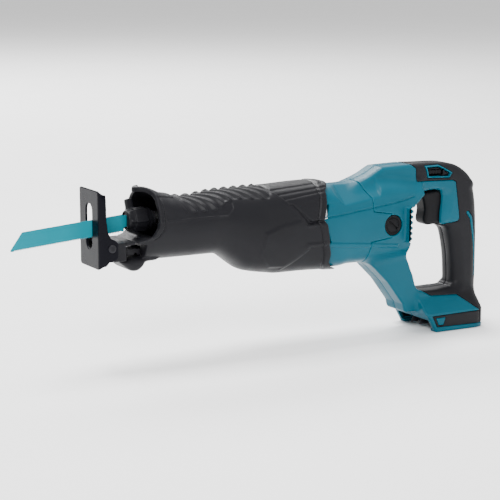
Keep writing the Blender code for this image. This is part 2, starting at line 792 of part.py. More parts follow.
def make_handle_blank():
    """Both handle halves as one solid, before they are hollowed and parted."""
    rear = stations_between(REAR_STATIONS, REAR_STATIONS[0][0], REAR_STATIONS[-1][0])
    blank = loft("blank", [section(REAR_STATIONS, x) for x in rear], "teal", "root")
    outline = (*HANDLE_TOP, *GRIP_BACK, (484.0, -131.0), *STRUT_FRONT)
    loop = prism("loop", outline, (-HANDLE_HALF_WIDTH, HANDLE_HALF_WIDTH), "Y", "teal", "root")
    round_edges(loop, 5.0, 2)
    realise(loop)
    join(blank, loop)
    foot = (
        foot_plan(402.0, 14.0, 6.0, -110.0),
        foot_plan(397.0, FOOT_HALF_WIDTH, 15.0, -132.0),
        foot_plan(401.5, FOOT_HALF_WIDTH, 15.0, -139.0),
        foot_plan(409.5, FOOT_HALF_WIDTH, 15.0, FOOT_BOTTOM_Z),
    )
    join(blank, loft("foot", foot, "teal", "root"))
    window = WINDOW_FRONT + WINDOW_BACK
    cut(blank, prism("window", window, (-60, 60), "Y", "teal", "root"))
    return blank


def hollow_handle(blank):
    """Room for the motor, the switch, the wiring and the battery rails."""
    motor = (0, MOTOR_Z)
    room = ((322.0, 31.0), (370.0, 31.0), (376.0, 26.0), (376.0, 8.4), (387.0, 8.4))
    cut(blank, turned("motor_room", room, motor, "X", "teal", "root", count=32))
    for sign in (-1, 1):
        span = sorted((sign * 28.0, sign * 40.0))
        hole = circle((349.5, MOTOR_Z - 1.5), 11.8, 0, "Y", 24)
        cut(blank, prism("cap_hole", [(x, z) for x, _, z in hole], span, "Y", "teal", "root"))
    switch_room = (
        (425.0, 4.5), (436.0, 4.5), (436.0, 15.5), (461.0, 15.5), (470.5, 2.0), (475.0, -20.0),
        (478.5, -60.0), (478.5, -100.0), (476.0, -122.0), (452.0, -122.0), (448.0, -100.0),
        (446.5, -37.0), (425.0, -37.0),
    )
    cut(blank, prism("switch_room", switch_room, (-11.6, 11.6), "Y", "teal", "root"))
    rails = (
        (-26.5, -160.0), (26.5, -160.0), (26.5, -151.5), (30.5, -151.5), (30.5, -141.0), (-30.5, -141.0),
        (-30.5, -151.5), (-26.5, -151.5),
    )
    cut(blank, prism("rails", rails, (390.0, 474.0), "X", "teal", "root"))
    lock_hole = rounded((409.7, 23.7), (430.3, 30.3), 1.5, 1)
    cut(blank, prism("lock_hole", lock_hole, (-30, 30), "Y", "teal", "root"))


def grip_outline():
    """The soft grip's side: from the top of the handle round its back and down to the foot."""
    edge = [(x + GAP, z + math.copysign(GAP, z)) for x, z in GRIP_EDGE[::-1]]
    top = (edge[-1][0], HANDLE_TOP[-1][1])
    foot = [(485.2, -108.4), (443.2, -108.4)]
    return [top, *GRIP_BACK[:-1], *foot, *WINDOW_BACK[1:5], (435.3, -41.8), *edge]


def make_handle_halves():
    """The two halves, with the soft grips let into their sides and back."""
    blank = make_handle_blank()
    hollow_handle(blank)
    core_back = offset_outline([HANDLE_TOP[-1], *GRIP_BACK, (443.0, -108.8)], -GRIP_SKIN)[:-1]
    skin_top, skin_bottom = core_back[0][1], core_back[-1][0]
    left = GRIP_EDGE[0][0]
    behind = [(left, skin_top), *core_back[1:], (skin_bottom + 10, -108.8)]
    behind += [(500.0, 60.0), (left, 60.0)]
    cut(blank, prism("behind", behind, (-30, 30), "Y", "teal", "root"))
    side_depth = HANDLE_HALF_WIDTH - GRIP_SKIN
    recess = [(left, 60.0), (500.0, 60.0), (500.0, -108.8), (442.7, -108.8), (441.5, -104.5)]
    recess += [(430.0, -98.0), (430.0, -44.2)]
    recess += GRIP_EDGE[::-1]
    for sign in (-1, 1):
        span = sorted((sign * side_depth, sign * 25.0))
        cut(blank, prism("side", recess, span, "Y", "teal", "root"))
    grips = {}
    for side, sign in (("left", -1), ("right", 1)):
        span = sorted((sign * GAP / 2, sign * HANDLE_HALF_WIDTH))
        grip = prism(f"grip_{side}", grip_outline(), span, "Y", "soft_black", "root")
        span = sorted((sign * -1.0, sign * (side_depth + GAP)))
        core = [(left - 5, skin_top + GAP), *offset_outline(core_back, GAP)[1:-1]]
        core += [(skin_bottom + GAP, -130.0), (left - 5, -130.0)]
        cut(grip, prism("core", core, span, "Y", "soft_black", "root"))
        hole = rounded((409.0, 23.0), (431.0, 31.0), 1.5, 1)
        span = sorted((sign * 10.0, sign * 30.0))
        cut(grip, prism("hole", hole, span, "Y", "soft_black", "root"))
        grips[side] = grip
    make_foot_pads(blank)
    make_handle_screws(blank, grips["right"])
    for side, sign in (("left", -1), ("right", 1)):
        half = bpy.data.objects.new(f"handle_{side}", blank.data.copy())
        bpy.context.scene.collection.objects.link(half)
        half.parent = bodies["root"]
        span = sorted((sign * GAP / 2, sign * 60.0))
        keep = box("keep", (300, span[0], -200), (520, span[1], 80), "teal", "root")
        combine(half, keep, "INTERSECT")
    bpy.data.objects.remove(blank)


def make_foot_pads(blank):
    """The bumper let into each side of the foot."""
    outline = ((405.5, -135.0), (468.0, -135.0), (468.0, -149.5), (412.0, -149.5))
    depth = 2.5
    for side, sign in (("left", -1), ("right", 1)):
        recess = sorted((sign * (FOOT_HALF_WIDTH - depth), sign * 50.0))
        cut(blank, prism("recess", offset_outline(outline, GAP), recess, "Y", "teal", "root"))
        pad = sorted((sign * (FOOT_HALF_WIDTH - depth + GAP), sign * FOOT_HALF_WIDTH))
        prism(f"foot_pad_{side}", outline, pad, "Y", "soft_black", "root")


SCREWS = (
    (334.0, -58.0, 24.0),
    (384.0, 24.0, 16.0),
    (372.0, -96.0, 16.0),
    (451.0, 23.0, 14.0),
    (420.0, -123.0, 24.0),
)


def make_handle_screws(blank, right_grip):
    """Screws go in from the right. X, Z and the Y of the head's outer face are in SCREWS."""
    for number, (x, z, face) in enumerate(SCREWS, start=1):
        centre = (x, z)
        profile = ((-9.0, 1.6), (-8.0, 2.0), (face - 4.0, 2.0), (face - 4.0, 3.8), (face - 0.8, 3.8))
        turned(f"handle_screw_{number}", profile, centre, "Y", "steel", "root", count=12)
        way = ((-9.6, 2.3), (face - 4.3, 2.3), (face - 4.3, 4.1), (60.0, 4.1))
        cut(blank, turned("way", way, centre, "Y", "teal", "root", count=12))
        if x > 440:
            access = ((10.0, 4.1), (60.0, 4.1))
            cut(right_grip, turned("access", access, centre, "Y", "teal", "root", count=12))


def make_controls():
    """The switch with its trigger, and the lock-off button that crosses the handle."""
    box("switch_body", (446.8, -10.5, -34.0), (467.0, 10.5, 4.0), "switch_plastic", "root")
    outline = (
        (403.5, -2.0), (406.5, 3.6), (433.0, 3.6), (438.5, 1.0), (438.5, -32.0), (433.0, -34.5),
        (413.0, -35.8), (406.0, -33.5), (404.0, -29.0), (406.8, -20.0), (406.4, -10.0),
    )
    trigger = prism("trigger", outline, (-10.9, 10.9), "Y", "soft_black", "trigger")
    round_edges(trigger, 2.2, 2, 25)
    button = prism(
        "lock_off_button", rounded((410.0, 24.0), (430.0, 30.0), 1.5, 1), (-14.0, 19.5), "Y",
        "soft_black", "lock_off",
    )
    round_edges(button, 0.6, 1, 60)


def make_terminals():
    """The contact block on the roof of the battery rails."""
    block = rounded((426.0, -13.0), (458.0, 13.0), 2, 1)
    prism("terminal_block", block, (-150.0, -141.3), "Z", "switch_plastic", "root")
    for name, y in (("terminal_plus", 8.0), ("terminal_minus", -8.0)):
        blade = ((406.0, -150.0), (425.7, -150.0), (425.7, -143.0), (409.0, -143.0))
        prism(name, blade, (y - 0.5, y + 0.5), "Y", "copper", "root")


def main():
    clear_scene()
    make_body("root")
    make_body("shoe_slide", (SHOE_PIVOT[0], 0, SHOE_PIVOT[1]), "root")
    make_body("shoe", (SHOE_PIVOT[0], 0, SHOE_PIVOT[1]), "shoe_slide")
    make_body("shoe_lock", (41.0, 0, -43.0), "root")
    make_body("slider", (40.0, 0, 0), "root")
    make_body("clamp_sleeve", (40.0, 0, 0), "slider")
    make_body("crank", (CRANK_X, 0, 0), "root")
    make_body("armature", (CRANK_X, 0, MOTOR_Z), "root")
    make_body("trigger", (403.5, 0, -16.0), "root")
    make_body("lock_off", (420.0, 0, 27.0), "root")
    make_saw_blade()
    make_slider()
    make_clamp_sleeve()
    make_shoe()
    make_shoe_slide()
    make_shoe_lock()
    make_front_boot()
    make_gear_housing()
    make_bearings()
    make_crank()
    make_armature()
    make_motor()
    make_motor_housing()
    make_handle_halves()
    make_controls()
    make_terminals()


main()
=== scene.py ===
"""Looks for the reciprocating saw: moulded casings, soft covers, shoe, blade, light and camera.

Casings are made as distance fields on a grid, in tool millimetres, and then turned into meshes.
Tool axes: X from the shoe back to the grip, Y to the right-hand side, Z up, with the slider's
axis on Y = Z = 0. A field is negative inside the material.
"""

import json
import math

import bpy
import numpy as np
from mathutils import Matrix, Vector


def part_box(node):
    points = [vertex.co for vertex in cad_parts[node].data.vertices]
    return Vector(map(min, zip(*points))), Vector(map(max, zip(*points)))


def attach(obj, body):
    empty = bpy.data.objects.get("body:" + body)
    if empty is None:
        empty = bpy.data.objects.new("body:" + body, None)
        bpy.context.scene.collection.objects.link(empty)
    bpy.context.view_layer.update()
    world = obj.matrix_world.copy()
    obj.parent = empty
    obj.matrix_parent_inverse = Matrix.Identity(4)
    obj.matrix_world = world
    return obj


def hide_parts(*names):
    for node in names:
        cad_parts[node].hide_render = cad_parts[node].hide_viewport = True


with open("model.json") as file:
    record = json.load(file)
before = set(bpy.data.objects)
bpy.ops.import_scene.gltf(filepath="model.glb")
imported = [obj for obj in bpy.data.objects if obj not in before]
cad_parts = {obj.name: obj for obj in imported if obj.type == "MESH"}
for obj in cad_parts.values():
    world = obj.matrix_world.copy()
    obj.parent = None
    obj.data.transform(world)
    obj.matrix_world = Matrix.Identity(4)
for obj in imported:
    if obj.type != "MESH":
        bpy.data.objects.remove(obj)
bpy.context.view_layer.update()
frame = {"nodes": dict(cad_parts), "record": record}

MM = 0.001
CRANK_X = 218.0
CASE_STEP = 0.8
SMALL_STEP = 0.5


def middle(node):
    low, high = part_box(node)
    return (low + high) / 2


ROD = middle("slider_rod")
ORIGIN = np.array((middle("crankshaft").x - CRANK_X * MM, ROD.y, ROD.z))


def tool_box(node):
    """The low and high corners of a CAD part's box, in tool millimetres."""
    return [(np.array(corner) - ORIGIN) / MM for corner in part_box(node)]


# ---------------------------------------------------------------- sizes, in tool millimetres

# Soft cover: X, top Z, bottom Z, half width, section power
COVER = (
    (36.0, 31.5, -42.0, 28.0, 2.35),
    (50.0, 32.5, -42.0, 31.0, 2.35),
    (54.0, 34.4, -42.3, 32.5, 2.35),
    (61.0, 33.6, -42.4, 33.5, 2.35),
    (68.0, 31.2, -42.4, 34.0, 2.35),
    (77.0, 26.6, -42.4, 34.0, 2.35),
    (87.0, 25.2, -42.4, 34.0, 2.35),
    (99.0, 21.2, -42.4, 34.0, 2.35),
    (117.0, 21.2, -42.4, 34.0, 2.35),
    (137.0, 24.2, -42.4, 34.0, 2.35),
    (146.0, 25.0, -45.8, 34.5, 2.35),
    (161.0, 25.2, -57.4, 36.5, 2.4),
    (170.0, 25.4, -63.8, 38.0, 2.4),
    (183.0, 25.6, -66.8, 39.2, 2.45),
    (210.0, 25.9, -71.2, 39.8, 2.5),
    (240.0, 27.0, -71.0, 40.0, 2.7),
    (262.0, 27.0, -71.4, 40.2, 3.0),
    (290.0, 24.0, -73.0, 40.0, 3.0),
)
COVER_WALL = 2.6
MOUTH_RIM = (
    (-70.0, 50.5),
    (-23.0, 50.5),
    (-21.6, 42.0),
    (-20.0, 41.0),
    (-18.2, 48.8),
    (-14.4, 55.6),
    (-6.0, 61.3),
    (5.2, 63.0),
    (17.3, 63.0),
    (29.4, 64.5),
    (40.0, 64.0),
)  # Z, X of the near side's edge
VISOR_LENGTH, VISOR_HALF_WIDTH = 13.5, 12.0
MOUTH_SLANT = 0.11
MOUTH_LIP, MOUTH_LIP_HEIGHT, MOUTH_GROOVE_DEPTH = 5.4, 1.5, 0.9
CHIN = (
    (24.0, -40.3),
    (32.0, -47.0),
    (36.5, -50.2),
    (41.0, -51.2),
    (46.0, -50.3),
    (51.0, -46.6),
    (54.5, -42.4),
    (66.0, -41.4),
    (66.0, -37.0),
    (35.0, -38.0),
    (24.6, -38.9),
)
CHIN_HALF_WIDTH, CHIN_EDGE = 20.5, 5.5
LOCK_CENTRE, LOCK_RADIUS, LOCK_DEPTH = (41.0, -43.0), 5.0, -15.6
BAR_HALF_WIDTH, BAR_LEVEL, BAR_HALF_HEIGHT = 10.6, -32.0, 4.6
COVER_REAR = (
    (278.0, 40.0),
    (275.0, 26.0),
    (270.0, 23.5),
    (263.0, 19.0),
    (262.5, 12.0),
    (261.5, 6.0),
    (256.6, -10.7),
    (260.5, -17.5),
    (263.5, -38.8),
    (266.4, -48.7),
    (267.0, -60.0),
    (273.0, -66.5),
    (282.0, -70.0),
    (284.0, -80.0),
)
TOP_PANEL = (
    (88.0, 17.0),
    (92.3, 11.7),
    (97.3, 7.5),
    (130.0, 8.0),
    (137.0, 10.6),
    (144.1, 16.3),
    (161.5, 17.3),
    (193.6, 15.0),
    (200.0, 21.0),
    (200.0, 50.0),
    (88.0, 50.0),
)
PANEL_DEPTH, PANEL_RIB_HEIGHT = 0.9, 2.3
RIB_PITCH, RIB_LEAN = 11.6, 0.85
SHOULDER = ((64.0, 1.0), (143.0, 1.5), (150.0, 8.0), (150.0, 14.0), (137.0, 14.0), (64.0, 26.0))
V_GROOVE = ((216.4, 7.2), (221.0, 6.6), (238.5, -13.2), (244.0, -12.7), (266.0, -12.2))
V_RIDGE = ((193.0, 27.0), (216.4, 7.2))
FACET = ((223.0, 5.0), (263.0, 13.0), (260.0, -10.6), (241.0, -11.8))
BULGE = (
    (184.0, -21.0),
    (205.0, -13.4),
    (227.0, -10.2),
    (238.0, -15.0),
    (275.0, -14.5),
    (275.0, -38.0),
    (239.0, -40.0),
    (211.0, -61.0),
    (194.0, -60.0),
    (180.0, -42.0),
)
COVER_TABS = (((234.5, -15.6), (243.5, -17.4)), ((235.0, -35.6), (259.0, -40.4)))
LOWER_CREASE = ((209.0, -63.5), (238.3, -41.8))
SHOULDER_DEPTH, SHOULDER_LIP = 0.8, 0.7
V_GROOVE_DEPTH, V_RIDGE_HEIGHT = 1.5, 0.8
BULGE_HEIGHT, CREASE_HEIGHT, TAB_HEIGHT = 1.5, 0.6, 0.9
UPPER_GROOVE_DEPTH = 0.8
REAR_BAND, REAR_BAND_HEIGHT, REAR_GROOVE_DEPTH = 7.0, 0.7, 0.9
UPPER_GROOVES = (
    ((211.0, 12.5), (263.0, 18.6)),
    ((206.0, 17.2), (266.0, 22.4)),
    ((201.0, 21.6), (268.0, 25.6)),
)

# Hard casing over the motor, and its rounded rear
CASE = (
    (246.0, 20.6, -68.4, 36.4, 3.0),
    (262.0, 21.4, -69.0, 37.2, 3.0),
    (284.0, 21.4, -70.4, 37.4, 3.0),
    (289.0, 21.3, -70.2, 37.2, 3.0),
    (298.0, 21.3, -68.4, 36.9, 3.0),
    (322.7, 22.0, -68.6, 36.6, 3.0),
    (350.0, 23.0, -66.5, 36.5, 3.0),
    (362.0, 22.0, -66.0, 36.0, 3.0),
    (374.0, 20.5, -65.0, 34.8, 3.0),
    (386.0, 18.5, -63.0, 33.0, 3.0),
)
SHELL_WALL = 3.0
CASE_CREASE = (
    (259.5, 26.0),
    (269.2, 10.4),
    (276.7, 8.1),
    (286.3, 1.4),
    (333.9, 5.8),
    (348.0, 20.4),
    (360.0, 40.0),
)
CREASE_HALF_WIDTH = 34.6
CASE_GROOVE = ((250.0, -11.8), (322.5, -4.0), (357.2, -0.1), (380.0, 3.6))
BELT = ((250.0, -36.4), (357.5, -47.8), (357.5, -51.6), (250.0, -41.0))
CASE_SLOTS = (((264.5, 2.6), (261.2, -7.6)), ((259.2, -15.2), (266.0, -37.0)))
CASE_SEAM = (
    (240.0, 70.0),
    (311.0, 70.0),
    (315.5, 22.0),
    (322.9, 6.1),
    (323.1, -8.4),
    (346.5, -12.2),
    (346.5, -39.4),
    (321.0, -42.4),
    (319.6, -57.6),
    (318.0, -95.0),
    (240.0, -95.0),
)
CAP_CENTRE = (349.5, -25.5)
CAP_RADIUS = 11.3
FIN_SPAN = (-50.0, -6.5)
FIN_COUNT, FIN_DEPTH = 7, 2.4
CASE_GROOVE_DEPTH, BELT_HEIGHT = 1.3, 1.3
VENT_HALF_WIDTH, VENT_SCREEN_HALF_WIDTH = 1.4, 6.0
BOSS_X, BOSS_HALF = 390.6, 9.0

# Handle loop, side view
LOOP_BACK = (
    (306.0, 14.0),
    (313.8, 20.6),
    (330.0, 28.6),
    (344.4, 36.2),
    (349.9, 37.2),
    (380.9, 38.0),
    (404.0, 38.0),
    (430.0, 37.2),
    (442.8, 35.4),
    (454.6, 31.3),
    (468.0, 21.6),
    (476.5, 8.3),
    (480.6, -7.7),
    (482.8, -31.4),
    (483.6, -60.0),
    (483.6, -95.0),
    (482.4, -112.0),
    (480.0, -131.0),
)
LOOP_FRONT = (
    (380.0, -131.6),
    (377.6, -129.5),
    (375.4, -121.5),
    (354.8, -94.2),
    (333.0, -73.0),
    (318.0, -60.0),
    (306.0, -30.0),
)
WINDOW = (
    (399.0, 4.2),
    (387.5, -2.0),
    (379.5, -9.0),
    (377.6, -20.0),
    (377.4, -48.0),
    (379.4, -62.0),
    (383.6, -75.0),
    (389.0, -88.0),
    (399.6, -107.4),
    (440.0, -108.8),
    (446.4, -106.3),
    (448.0, -99.5),
    (446.4, -73.9),
    (443.2, -55.4),
    (439.6, -43.0),
    (434.0, -37.6),
    (428.6, -34.0),
    (427.4, -24.0),
    (427.4, 4.2),
)
LOOP_HALF_WIDTH = 17.6
# Foot: Z, front X, half width
FOOT = (
    (-160.0, 412.5, 37.0),
    (-154.5, 409.5, 37.0),
    (-139.0, 401.0, 37.0),
    (-133.6, 397.0, 37.0),
    (-131.6, 396.0, 35.6),
    (-110.0, 394.0, 15.0),
    (-90.0, 394.0, 2.0),
)
FOOT_REAR = 480.5
FOOT_LOW, FOOT_HIGH = -154.5, -106.0
FOOT_CORNER, FOOT_FRONT_CORNER = 15.0, 3.0
RAIL_ROOF, RAIL_LIP = -141.0, -151.5
RAIL_HALF, LIP_HALF = 30.5, 26.5
RAIL_BACK = 474.0

# Where the soft grip covers the casing, side view
GRIP_AREA = (
    (384.9, 60.0),
    (385.2, 38.5),
    (391.4, 33.0),
    (391.8, 18.3),
    (442.6, 16.7),
    (447.2, 14.6),
    (448.9, 2.9),
    (453.4, -28.0),
    (451.1, -31.4),
    (424.3, -36.0),
    (412.0, -70.0),
    (399.0, -103.0),
    (404.0, -109.6),
    (413.4, -115.2),
    (449.0, -117.0),
    (467.0, -131.6),
    (471.0, -134.0),
    (471.0, -150.0),
    (500.0, -150.0),
    (500.0, 60.0),
)
LOCK_RIM = ((404.5, 35.0), (424.1, 35.2), (442.0, 25.6), (437.6, 19.8), (407.4, 21.2))
LOCK_RIM_WIDTH = 2.3
ACCENT = (
    (465.0, -22.6),
    (470.1, -29.4),
    (475.6, -56.7),
    (477.4, -68.2),
    (478.2, -90.0),
    (477.0, -98.0),
)
ACCENT_HALF_WIDTH = 1.9
BUMPER = ((404.6, -135.6), (471.0, -135.0), (471.0, -149.8), (411.2, -148.8))
BUMPER_INSET = ((409.4, -138.2), (423.0, -138.0), (420.0, -146.8), (413.4, -146.8))
TRIGGER = (
    (406.6, 0.4),
    (409.0, 3.4),
    (416.0, 4.3),
    (442.0, 4.3),
    (442.0, -33.0),
    (428.0, -33.8),
    (416.0, -34.6),
    (410.6, -32.4),
    (408.8, -27.4),
    (410.2, -17.0),
    (408.8, -8.0),
)

# Shoe
SHOE_PIVOT = (np.array(middle("shoe_pivot_pin")) - ORIGIN) / MM
SHOE_SHEET = 2.2
SHOE_BEND = 6.0
SHOE_CORNER = 9.0
SHOE_SLOT_LOW, SHOE_SLOT_HIGH, SHOE_SLOT_HALF = -26.0, 21.0, 7.5
SHOE_HOLE_RADIUS = 3.35

# Bracket
BRACKET_SHEET = 2.8
BRACKET_BEND = 4.0
BRACKET_HOLE_RADIUS = 3.3
BRIDGE_FRONT, BRIDGE_REAR = 13.0, 39.4
BRIDGE_HALF_THICKNESS = 1.6

# Blade, measured along it from the clamp
BLADE_CANT = math.radians(4.9)
BLADE_ROOT = (36.0, -2.75)
BLADE_HALF, BLADE_TIP, BLADE_UPPER, BLADE_SHANK = 9.0, 124.7, 110.0, 23.0
BLADE_HALF_THICKNESS = 0.55
TOOTH_PITCH, TOOTH_DEPTH, TOOTH_SET = 1.81, 1.15, 0.22

# Clamp sleeve: X, radius
SLEEVE = (
    (38.5, 9.2),
    (39.6, 10.2),
    (41.5, 10.6),
    (46.0, 10.8),
    (46.8, 12.0),
    (60.0, 12.4),
    (61.0, 11.4),
    (66.0, 11.4),
)
SLEEVE_BORE = 8.45
LEVER_LEAN = math.radians(22)

# Camera: how far round and up it is, in degrees, how far away, and what it looks at
CAMERA_AZIMUTH, CAMERA_ELEVATION, CAMERA_DISTANCE = 29.0, 10.5, 1.742
CAMERA_TARGET = (186.7, 0.0, -44.6)
CAMERA_LENS, CAMERA_SENSOR = 115.7, 36.0


# ---------------------------------------------------------------- fields


class Grid:
    """The sample points of a box, as three arrays that broadcast to the whole grid."""

    def __init__(self, low, high, step):
        self.low = np.array(low, np.float32)
        self.step = step
        axes = [np.arange(a, b + step, step, dtype=np.float32) for a, b in zip(low, high)]
        self.x = axes[0][:, None, None]
        self.y = axes[1][None, :, None]
        self.z = axes[2][None, None, :]
        self.side = np.abs(self.y)


def line_distance(u, v, points):
    """Distance in a plane to a line through the points."""
    best = None
    for (u0, v0), (u1, v1) in zip(points, points[1:]):
        du, dv = u1 - u0, v1 - v0
        along = np.clip(((u - u0) * du + (v - v0) * dv) / (du * du + dv * dv), 0, 1)
        found = np.hypot(u - u0 - along * du, v - v0 - along * dv)
        best = found if best is None else np.minimum(best, found)
    return best


def outline_distance(u, v, points):
    """Signed distance in a plane to a closed outline."""
    closed = [*points, points[0]]
    inside = np.zeros(np.broadcast(u, v).shape, bool)
    for (u0, v0), (u1, v1) in zip(closed, closed[1:]):
        rise = v1 - v0
        if rise:
            inside ^= ((v0 > v) != (v1 > v)) & (u < u0 + (v - v0) * (u1 - u0) / rise)
    distance = line_distance(u, v, closed)
    return np.where(inside, -distance, distance)


def curved(points, steps=5, closed=True):
    """A smooth line through the points."""
    count = len(points)
    line = []
    for i in range(count if closed else count - 1):
        if closed:
            four = [points[(i + k) % count] for k in (-1, 0, 1, 2)]
        else:
            four = [points[min(max(i + k, 0), count - 1)] for k in (-1, 0, 1, 2)]
        a, b, c, d = np.array(four, float)
        for step in range(steps):
            t = step / steps
            point = 2 * b + (c - a) * t
            point = point + (2 * a - 5 * b + 4 * c - d) * t**2 + (3 * b - a - 3 * c + d) * t**3
            line.append(tuple(point / 2))
    if not closed:
        line.append(tuple(points[-1]))
    return line


def track(at, stations, column, soften=4.0):
    """One column of the stations at each point, on straight lines with rounded joints."""
    knots = [row[0] for row in stations]
    values = [row[column] for row in stations]
    total = 0
    offsets = np.linspace(-soften, soften, 7)
    for offset in offsets:
        total = total + np.interp(at + offset, knots, values)
    return (total / len(offsets)).astype(np.float32)


def ramp(value, low, high):
    """0 below low, 1 above high, and smooth between."""
    share = np.clip((value - low) / (high - low), 0, 1)
    return share * share * (3 - 2 * share)


def within(signed, soft=1.2):
    """1 inside an outline and 0 outside it, with a soft edge."""
    return 1 - ramp(signed, -soft / 2, soft / 2)


def mound(distance, half_width):
    """1 on a line, falling smoothly to 0 at half_width."""
    return 1 - ramp(distance, 0, half_width)


def merge(a, b, soft):
    """Union with a fillet."""
    share = np.clip(0.5 + 0.5 * (b - a) / soft, 0, 1)
    return b + (a - b) * share - soft * share * (1 - share)


def trim(a, b, soft):
    """Intersection with a rounded edge."""
    return -merge(-a, -b, soft)


def evened(value, step):
    """The field divided by its slope, so that it measures distance near its surface."""
    slopes = np.gradient(value, step)
    return value / np.sqrt(sum(slope * slope for slope in slopes) + 1e-9)


def barrel(grid, stations):
    """A rounded section that changes along X."""
    top, bottom, half, power = (track(grid.x, stations, column) for column in (1, 2, 3, 4))
    centre, height = (top + bottom) / 2, (top - bottom) / 2
    across = np.maximum(grid.side / half, 1e-3)
    upward = np.maximum(np.abs(grid.z - centre) / height, 1e-3)
    value = (across**power + upward**power) ** (1 / power) - 1
    return evened(value, grid.step)


def round_join(a, b, radius):
    """Where two fields are both negative, with a rounded corner between them."""
    a, b = a + radius, b + radius
    outside = np.hypot(np.maximum(a, 0), np.maximum(b, 0))
    return outside + np.minimum(np.maximum(a, b), 0) - radius


def slab(grid, flat, half_width, edge):
    """A side outline, given by its distance, pushed out to half_width with rounded edges."""
    return round_join(flat, grid.side - half_width, edge)


def surface_net(field):
    """Points and outward quads on the zero level of a field."""
    cells = np.array(field.shape) - 1
    total = int(cells.prod())
    strides = np.array((cells[1] * cells[2], cells[2], 1))
    sums, counts, quads = np.zeros((3, total)), np.zeros(total), []
    for axis in range(3):
        u, v = (axis + 1) % 3, (axis + 2) % 3
        rows = np.moveaxis(field, axis, 0)
        crossing = np.moveaxis((rows[:-1] < 0) != (rows[1:] < 0), 0, axis)
        index = np.argwhere(crossing)
        inner = (index[:, u] > 0) & (index[:, u] < cells[u])
        index = index[inner & (index[:, v] > 0) & (index[:, v] < cells[v])]
        following = index.copy()
        following[:, axis] += 1
        start, end = field[tuple(index.T)], field[tuple(following.T)]
        point = index.astype(float)
        point[:, axis] += start / (start - end)
        corners = []
        for du, dv in ((-1, -1), (0, -1), (0, 0), (-1, 0)):
            cell = index @ strides + du * strides[u] + dv * strides[v]
            counts += np.bincount(cell, minlength=total)
            for k in range(3):
                sums[k] += np.bincount(cell, weights=point[:, k], minlength=total)
            corners.append(cell)
        quad = np.stack(corners, 1)
        inward = start >= 0
        quad[inward] = quad[inward, ::-1]
        quads.append(quad)
    used = counts > 0
    number = np.cumsum(used) - 1
    return (sums[:, used] / counts[used]).T, number[np.concatenate(quads)]


# ---------------------------------------------------------------- pieces


def finish_piece(obj, material, body, nodes, sharp=38):
    obj.data.materials.clear()
    obj.data.materials.append(material)
    obj.data.shade_smooth()
    obj.data.set_sharp_from_angle(angle=math.radians(sharp))
    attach(obj, body)
    if nodes:
        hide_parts(*nodes)
    return obj


def apply_modifiers(obj):
    graph = bpy.context.evaluated_depsgraph_get()
    made = bpy.data.meshes.new_from_object(obj.evaluated_get(graph))
    obj.modifiers.clear()
    obj.data = made


def new_object(name, points, faces):
    """An object from tool millimetres."""
    mesh = bpy.data.meshes.new(name)
    placed = np.asarray(points, float) * MM + ORIGIN
    mesh.from_pydata(placed.tolist(), [], [list(face) for face in faces])
    obj = bpy.data.objects.new(name, mesh)
    bpy.context.scene.collection.objects.link(obj)
    return obj


def field_piece(name, grid, field, material, body, nodes, keep=0.4):
    """The mesh of a field, thinned to a share of its faces where it is flat."""
    points, quads = surface_net(np.ascontiguousarray(field, np.float32))
    obj = new_object(name, points * grid.step + grid.low, quads.tolist())
    thin = obj.modifiers.new("thin", "DECIMATE")
    thin.ratio = keep
    apply_modifiers(obj)
    return finish_piece(obj, material, body, nodes)


def hollowed(field, wall):
    return np.maximum(field, -(field + wall))


# ---------------------------------------------------------------- soft cover


def cover_details(grid, field):
    """Panels, ribs, ridges and grooves of the soft cover, as small moves of its surface."""
    x, z = grid.x, grid.z
    panel = within(outline_distance(x, z, TOP_PANEL), 1.6)
    wave = 0.5 + 0.5 * np.cos(2 * math.pi * (x - RIB_LEAN * grid.side) / RIB_PITCH)
    fade = ramp(x, 90, 100) * (1 - ramp(x, 190, 200))
    field = field + panel * (PANEL_DEPTH - PANEL_RIB_HEIGHT * fade * wave**2)
    field = field + SHOULDER_DEPTH * within(outline_distance(x, z, SHOULDER), 1.4) * (1 - panel)
    field = field - SHOULDER_LIP * mound(line_distance(x, z, SHOULDER[:2]), 1.3)
    field = field + V_GROOVE_DEPTH * mound(line_distance(x, z, V_GROOVE), 2.3)
    field = field - V_RIDGE_HEIGHT * mound(line_distance(x, z, V_RIDGE), 1.6)
    lean = 0.3 - 0.085 * z
    field = field - within(outline_distance(x, z, FACET), 1.4) * lean
    field = field - BULGE_HEIGHT * within(outline_distance(x, z, BULGE), 4.0)
    field = field - CREASE_HEIGHT * mound(line_distance(x, z, LOWER_CREASE), 2.2)
    for line in UPPER_GROOVES:
        field = field + UPPER_GROOVE_DEPTH * mound(line_distance(x, z, line), 1.4)
    for (x0, z0), (x1, z1) in COVER_TABS:
        tab = ((x0, z0), (x1, z0), (x1, z1), (x0, z1))
        field = field - TAB_HEIGHT * within(outline_distance(x, z, tab), 1.0)
    behind = line_distance(x, z, COVER_REAR)
    field = field - REAR_BAND_HEIGHT * (1 - ramp(behind, REAR_BAND - 0.6, REAR_BAND + 0.6))
    return field + REAR_GROOVE_DEPTH * mound(np.abs(behind - REAR_BAND - 1.2), 1.2)


def cover_mouth(grid):
    """How far each point lies in front of the mouth's edge, with the visor over the blade."""
    edge = np.interp(grid.z, [row[0] for row in MOUTH_RIM], [row[1] for row in MOUTH_RIM])
    visor = VISOR_LENGTH * np.exp(-((grid.y / VISOR_HALF_WIDTH) ** 2)) * ramp(grid.z, 18, 28)
    slant = MOUTH_SLANT * (grid.y + 33.0) * ramp(grid.z, -16, -4)
    return edge - slant - visor - grid.x


